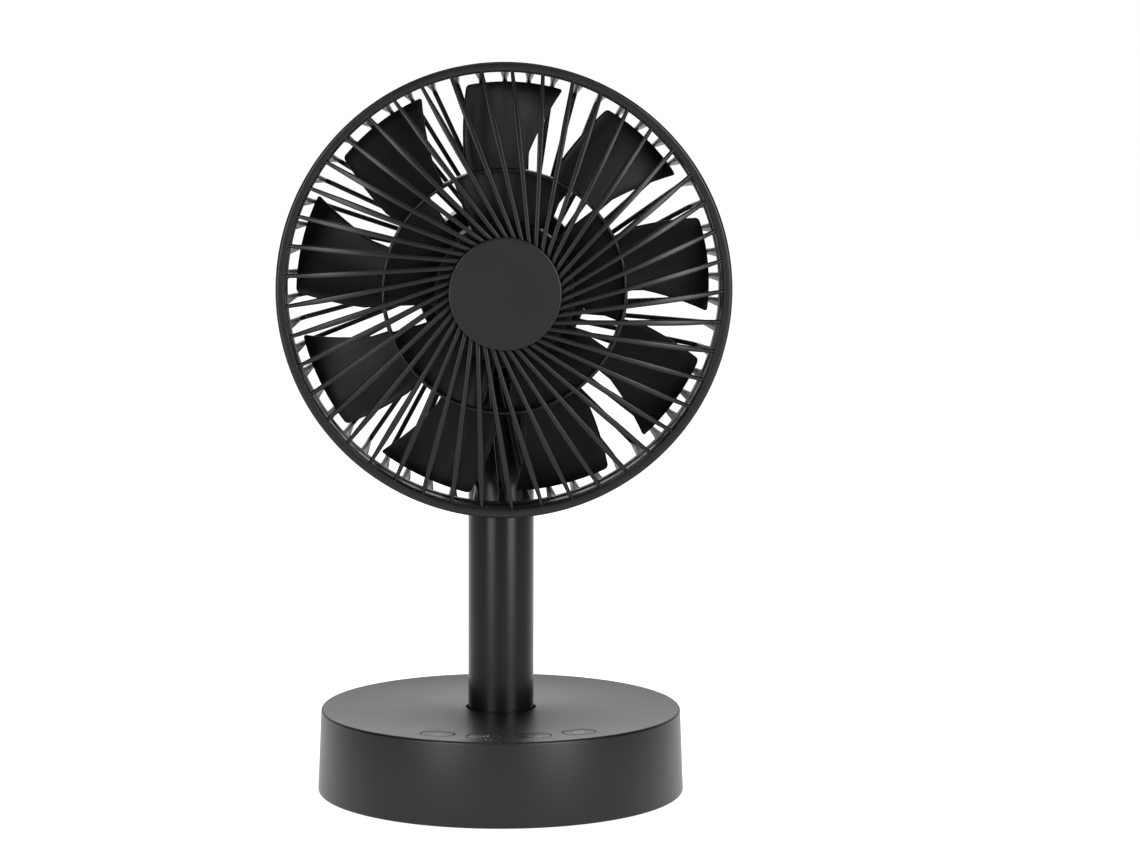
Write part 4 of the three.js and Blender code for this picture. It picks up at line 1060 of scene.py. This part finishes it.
def blade(name, radii, span, lean_at, front_at, back_at, camber, corner):
    """A thin blade: an arc at its root is drawn outwards, turned and deepened a step at a time.

    lean_at, front_at and back_at give its middle's angle and its two edges' depths at a radius.
    """
    across = 12

    def point(k):
        v = k / across
        angle = lean_at(radii[0]) + (v - 0.5) * span
        front, back = front_at(radii[0]), back_at(radii[0])
        depth = front + (back - front) * v + camber * math.sin(math.pi * v) + BLADE_THICKNESS / 2
        return HEAD + Vector((radii[0] * math.sin(angle), depth, radii[0] * math.cos(angle)))

    root = [point(k) for k in range(across + 1)]
    deselect()
    bpy.ops.mesh.primitive_plane_add(size=MM, location=root[0])
    sheet = named(name)
    open_mesh(sheet)
    bpy.ops.mesh.merge(type="CENTER")
    for here, there in zip(root, root[1:]):
        bpy.ops.mesh.extrude_vertices_move(TRANSFORM_OT_translate={"value": there - here})
    bpy.ops.mesh.select_all(action="SELECT")
    for radius, next_radius in zip(radii, radii[1:]):
        middle = HEAD + ALONG * (front_at(radius) + back_at(radius) + BLADE_THICKNESS) / 2
        shift = (front_at(next_radius) + back_at(next_radius) - front_at(radius) - back_at(radius)) / 2
        deeper = (back_at(next_radius) - front_at(next_radius)) / (back_at(radius) - front_at(radius))
        wider = next_radius / radius
        bpy.ops.mesh.extrude_region_move()
        bpy.ops.transform.resize(value=(wider, deeper, wider), center_override=middle)
        bpy.ops.transform.translate(value=ALONG * shift)
        swing(lean_at(next_radius) - lean_at(radius), "Y", HEAD)
    close_mesh()
    if corner:
        ends = [HEAD + Vector((radii[-1] * math.sin(a), 0, radii[-1] * math.cos(a)))
                for a in (lean_at(radii[-1]) - span / 2, lean_at(radii[-1]) + span / 2)]
        open_at(sheet, "VERT", lambda spot, normal: any(
            math.hypot(spot.x - end.x, spot.z - end.z) < 0.05 * MM for end in ends))
        bpy.ops.mesh.bevel(offset=corner, segments=5, affect="VERTICES")
        close_mesh()
    modify(sheet, "SOLIDIFY", thickness=BLADE_THICKNESS, offset=0, use_even_offset=True)
    tidy_mesh(sheet)
    soften(sheet, 0.3 * MM, segments=2, angle=50)
    return sheet


def outer_blades():
    root, knee = HOOP_R - 0.6 * MM, 43.8 * MM
    radii = [root, HOOP_R + 2.2 * MM, knee] + [knee + (TIP_R - knee) * k / 6 for k in range(1, 7)]

    def lean(radius):
        return math.radians(OUTER_PHASE - 6.3 * share_out(radius, TIP_R, knee))

    def front(radius):
        return (-49 + 5 * (radius - HOOP_R) / (TIP_R - HOOP_R)) * MM

    def back(radius):
        return (-42 + 10 * (radius - HOOP_R) / (TIP_R - HOOP_R)) * MM

    blades = blade("outer_blades", radii, OUTER_SPAN, lean, front, back, 1.1 * MM, 1.1 * MM)
    repeat_round(blades, OUTER_BLADES)
    return blades


def inner_blades():
    root, tip = HUB_R - 0.8 * MM, HOOP_R - 0.5 * MM
    radii = [root + (tip - root) * k / 5 for k in range(6)]

    def lean(radius):
        return math.radians(INNER_PHASE - 3 * (HOOP_R - radius) / (HOOP_R - HUB_R))

    blades = blade("inner_blades", radii, INNER_SPAN, lean, lambda radius: -51 * MM,
                   lambda radius: -42.5 * MM, 0.9 * MM, 0)
    repeat_round(blades, INNER_BLADES)
    return blades


def fan_blades():
    """The impeller: a hub, a ring of five inner blades, a hoop, and nine outer blades."""
    wall, nose, edge, hoop_nose = 1.8 * MM, 1.2 * MM, 0.2 * MM, 0.5 * MM
    boss_r, bore_r, boss_back = 5.4 * MM, 3.3 * MM, -45 * MM
    hub_profile = [
        (0, HUB_FRONT), *bend((HUB_R - nose, HUB_FRONT + nose), nose, -90, 0, 5),
        (HUB_R, HUB_BACK - edge), (HUB_R - edge, HUB_BACK), (HUB_R - wall, HUB_BACK),
        (HUB_R - wall, HUB_FRONT + 2 * MM), (boss_r, HUB_FRONT + 2 * MM), (boss_r, boss_back),
        (bore_r, boss_back), (bore_r, HUB_FRONT + wall), (0, HUB_FRONT + wall),
    ]
    rotor = turned("fan_blades", hub_profile, ALONG, steps=128)
    edge = 0.25 * MM
    hoop_in = HOOP_R - HOOP_WALL
    hoop_profile = [
        *bend((hoop_in + hoop_nose, HOOP_FRONT + hoop_nose), hoop_nose, 180, 270, 4),
        *bend((HOOP_R - hoop_nose, HOOP_FRONT + hoop_nose), hoop_nose, 270, 360, 4),
        *bend((HOOP_R - edge, HOOP_BACK - edge), edge, 0, 90, 3),
        *bend((hoop_in + edge, HOOP_BACK - edge), edge, 90, 180, 3),
    ]
    hoop = turned("hoop", hoop_profile, ALONG, steps=216)
    fuse(hoop, gather(outer_blades(), inner_blades()))
    fuse(rotor, hoop)
    fit(rotor, "impeller", "black_blade", BLADE, "impeller")
    # Painted highlight: the hoop's rounded front gets the guard finish, lighter and glossier than the rest
    # of the rotor, for the bright line along its front edge.
    refinish(rotor, GUARD, lambda out, face: (
        face.center.y < HOOP_FRONT + hoop_nose and HOOP_R - 1.2 * MM < out < HOOP_R))


# ---------------------------------------------------------------- inner pieces that keep their shape

INNER_FINISHES = {
    BLACKED: ("steel_weight", "retaining_ring", "swivel_motor_screw_1", "swivel_motor_screw_2",
              "motor_screw_1", "motor_screw_2", "motor_rotor"),
    STEEL: ("swivel_motor", "motor_shaft", "switch_1", "switch_2", "switch_3", "switch_4"),
    BRASS: ("hub_bush", "motor_front_bearing", "motor_rear_bearing"),
    COPPER: ("motor_stator",),
    GREY: ("battery_holder",),
    WRAP: ("battery_cell",),
    BOARD: ("control_board", "charging_board", "driver_board"),
    NYLON: ("column_bearing", "sector_gear", "swivel_pinion"),
    WIRE: ("wiring_loom",),
}


def dress_inner_pieces():
    for material, nodes in INNER_FINISHES.items():
        for node in nodes:
            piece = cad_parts[node]
            if not piece.material_slots:
                raise SystemExit(f"{node} has no material slot")
            for slot in piece.material_slots:
                slot.material = material


# ---------------------------------------------------------------- the fan

set_camera()
set_studio()
lay_floor()
base_housing()
underside()
charging_socket()
keys()
level_dots()
column()
tilt_knuckle()
tilt_hinge()
front_grille()
cap()
rear_basket()
cage_screws()
motor_housing()
back_cover()
motor()
fan_blades()
dress_inner_pieces()
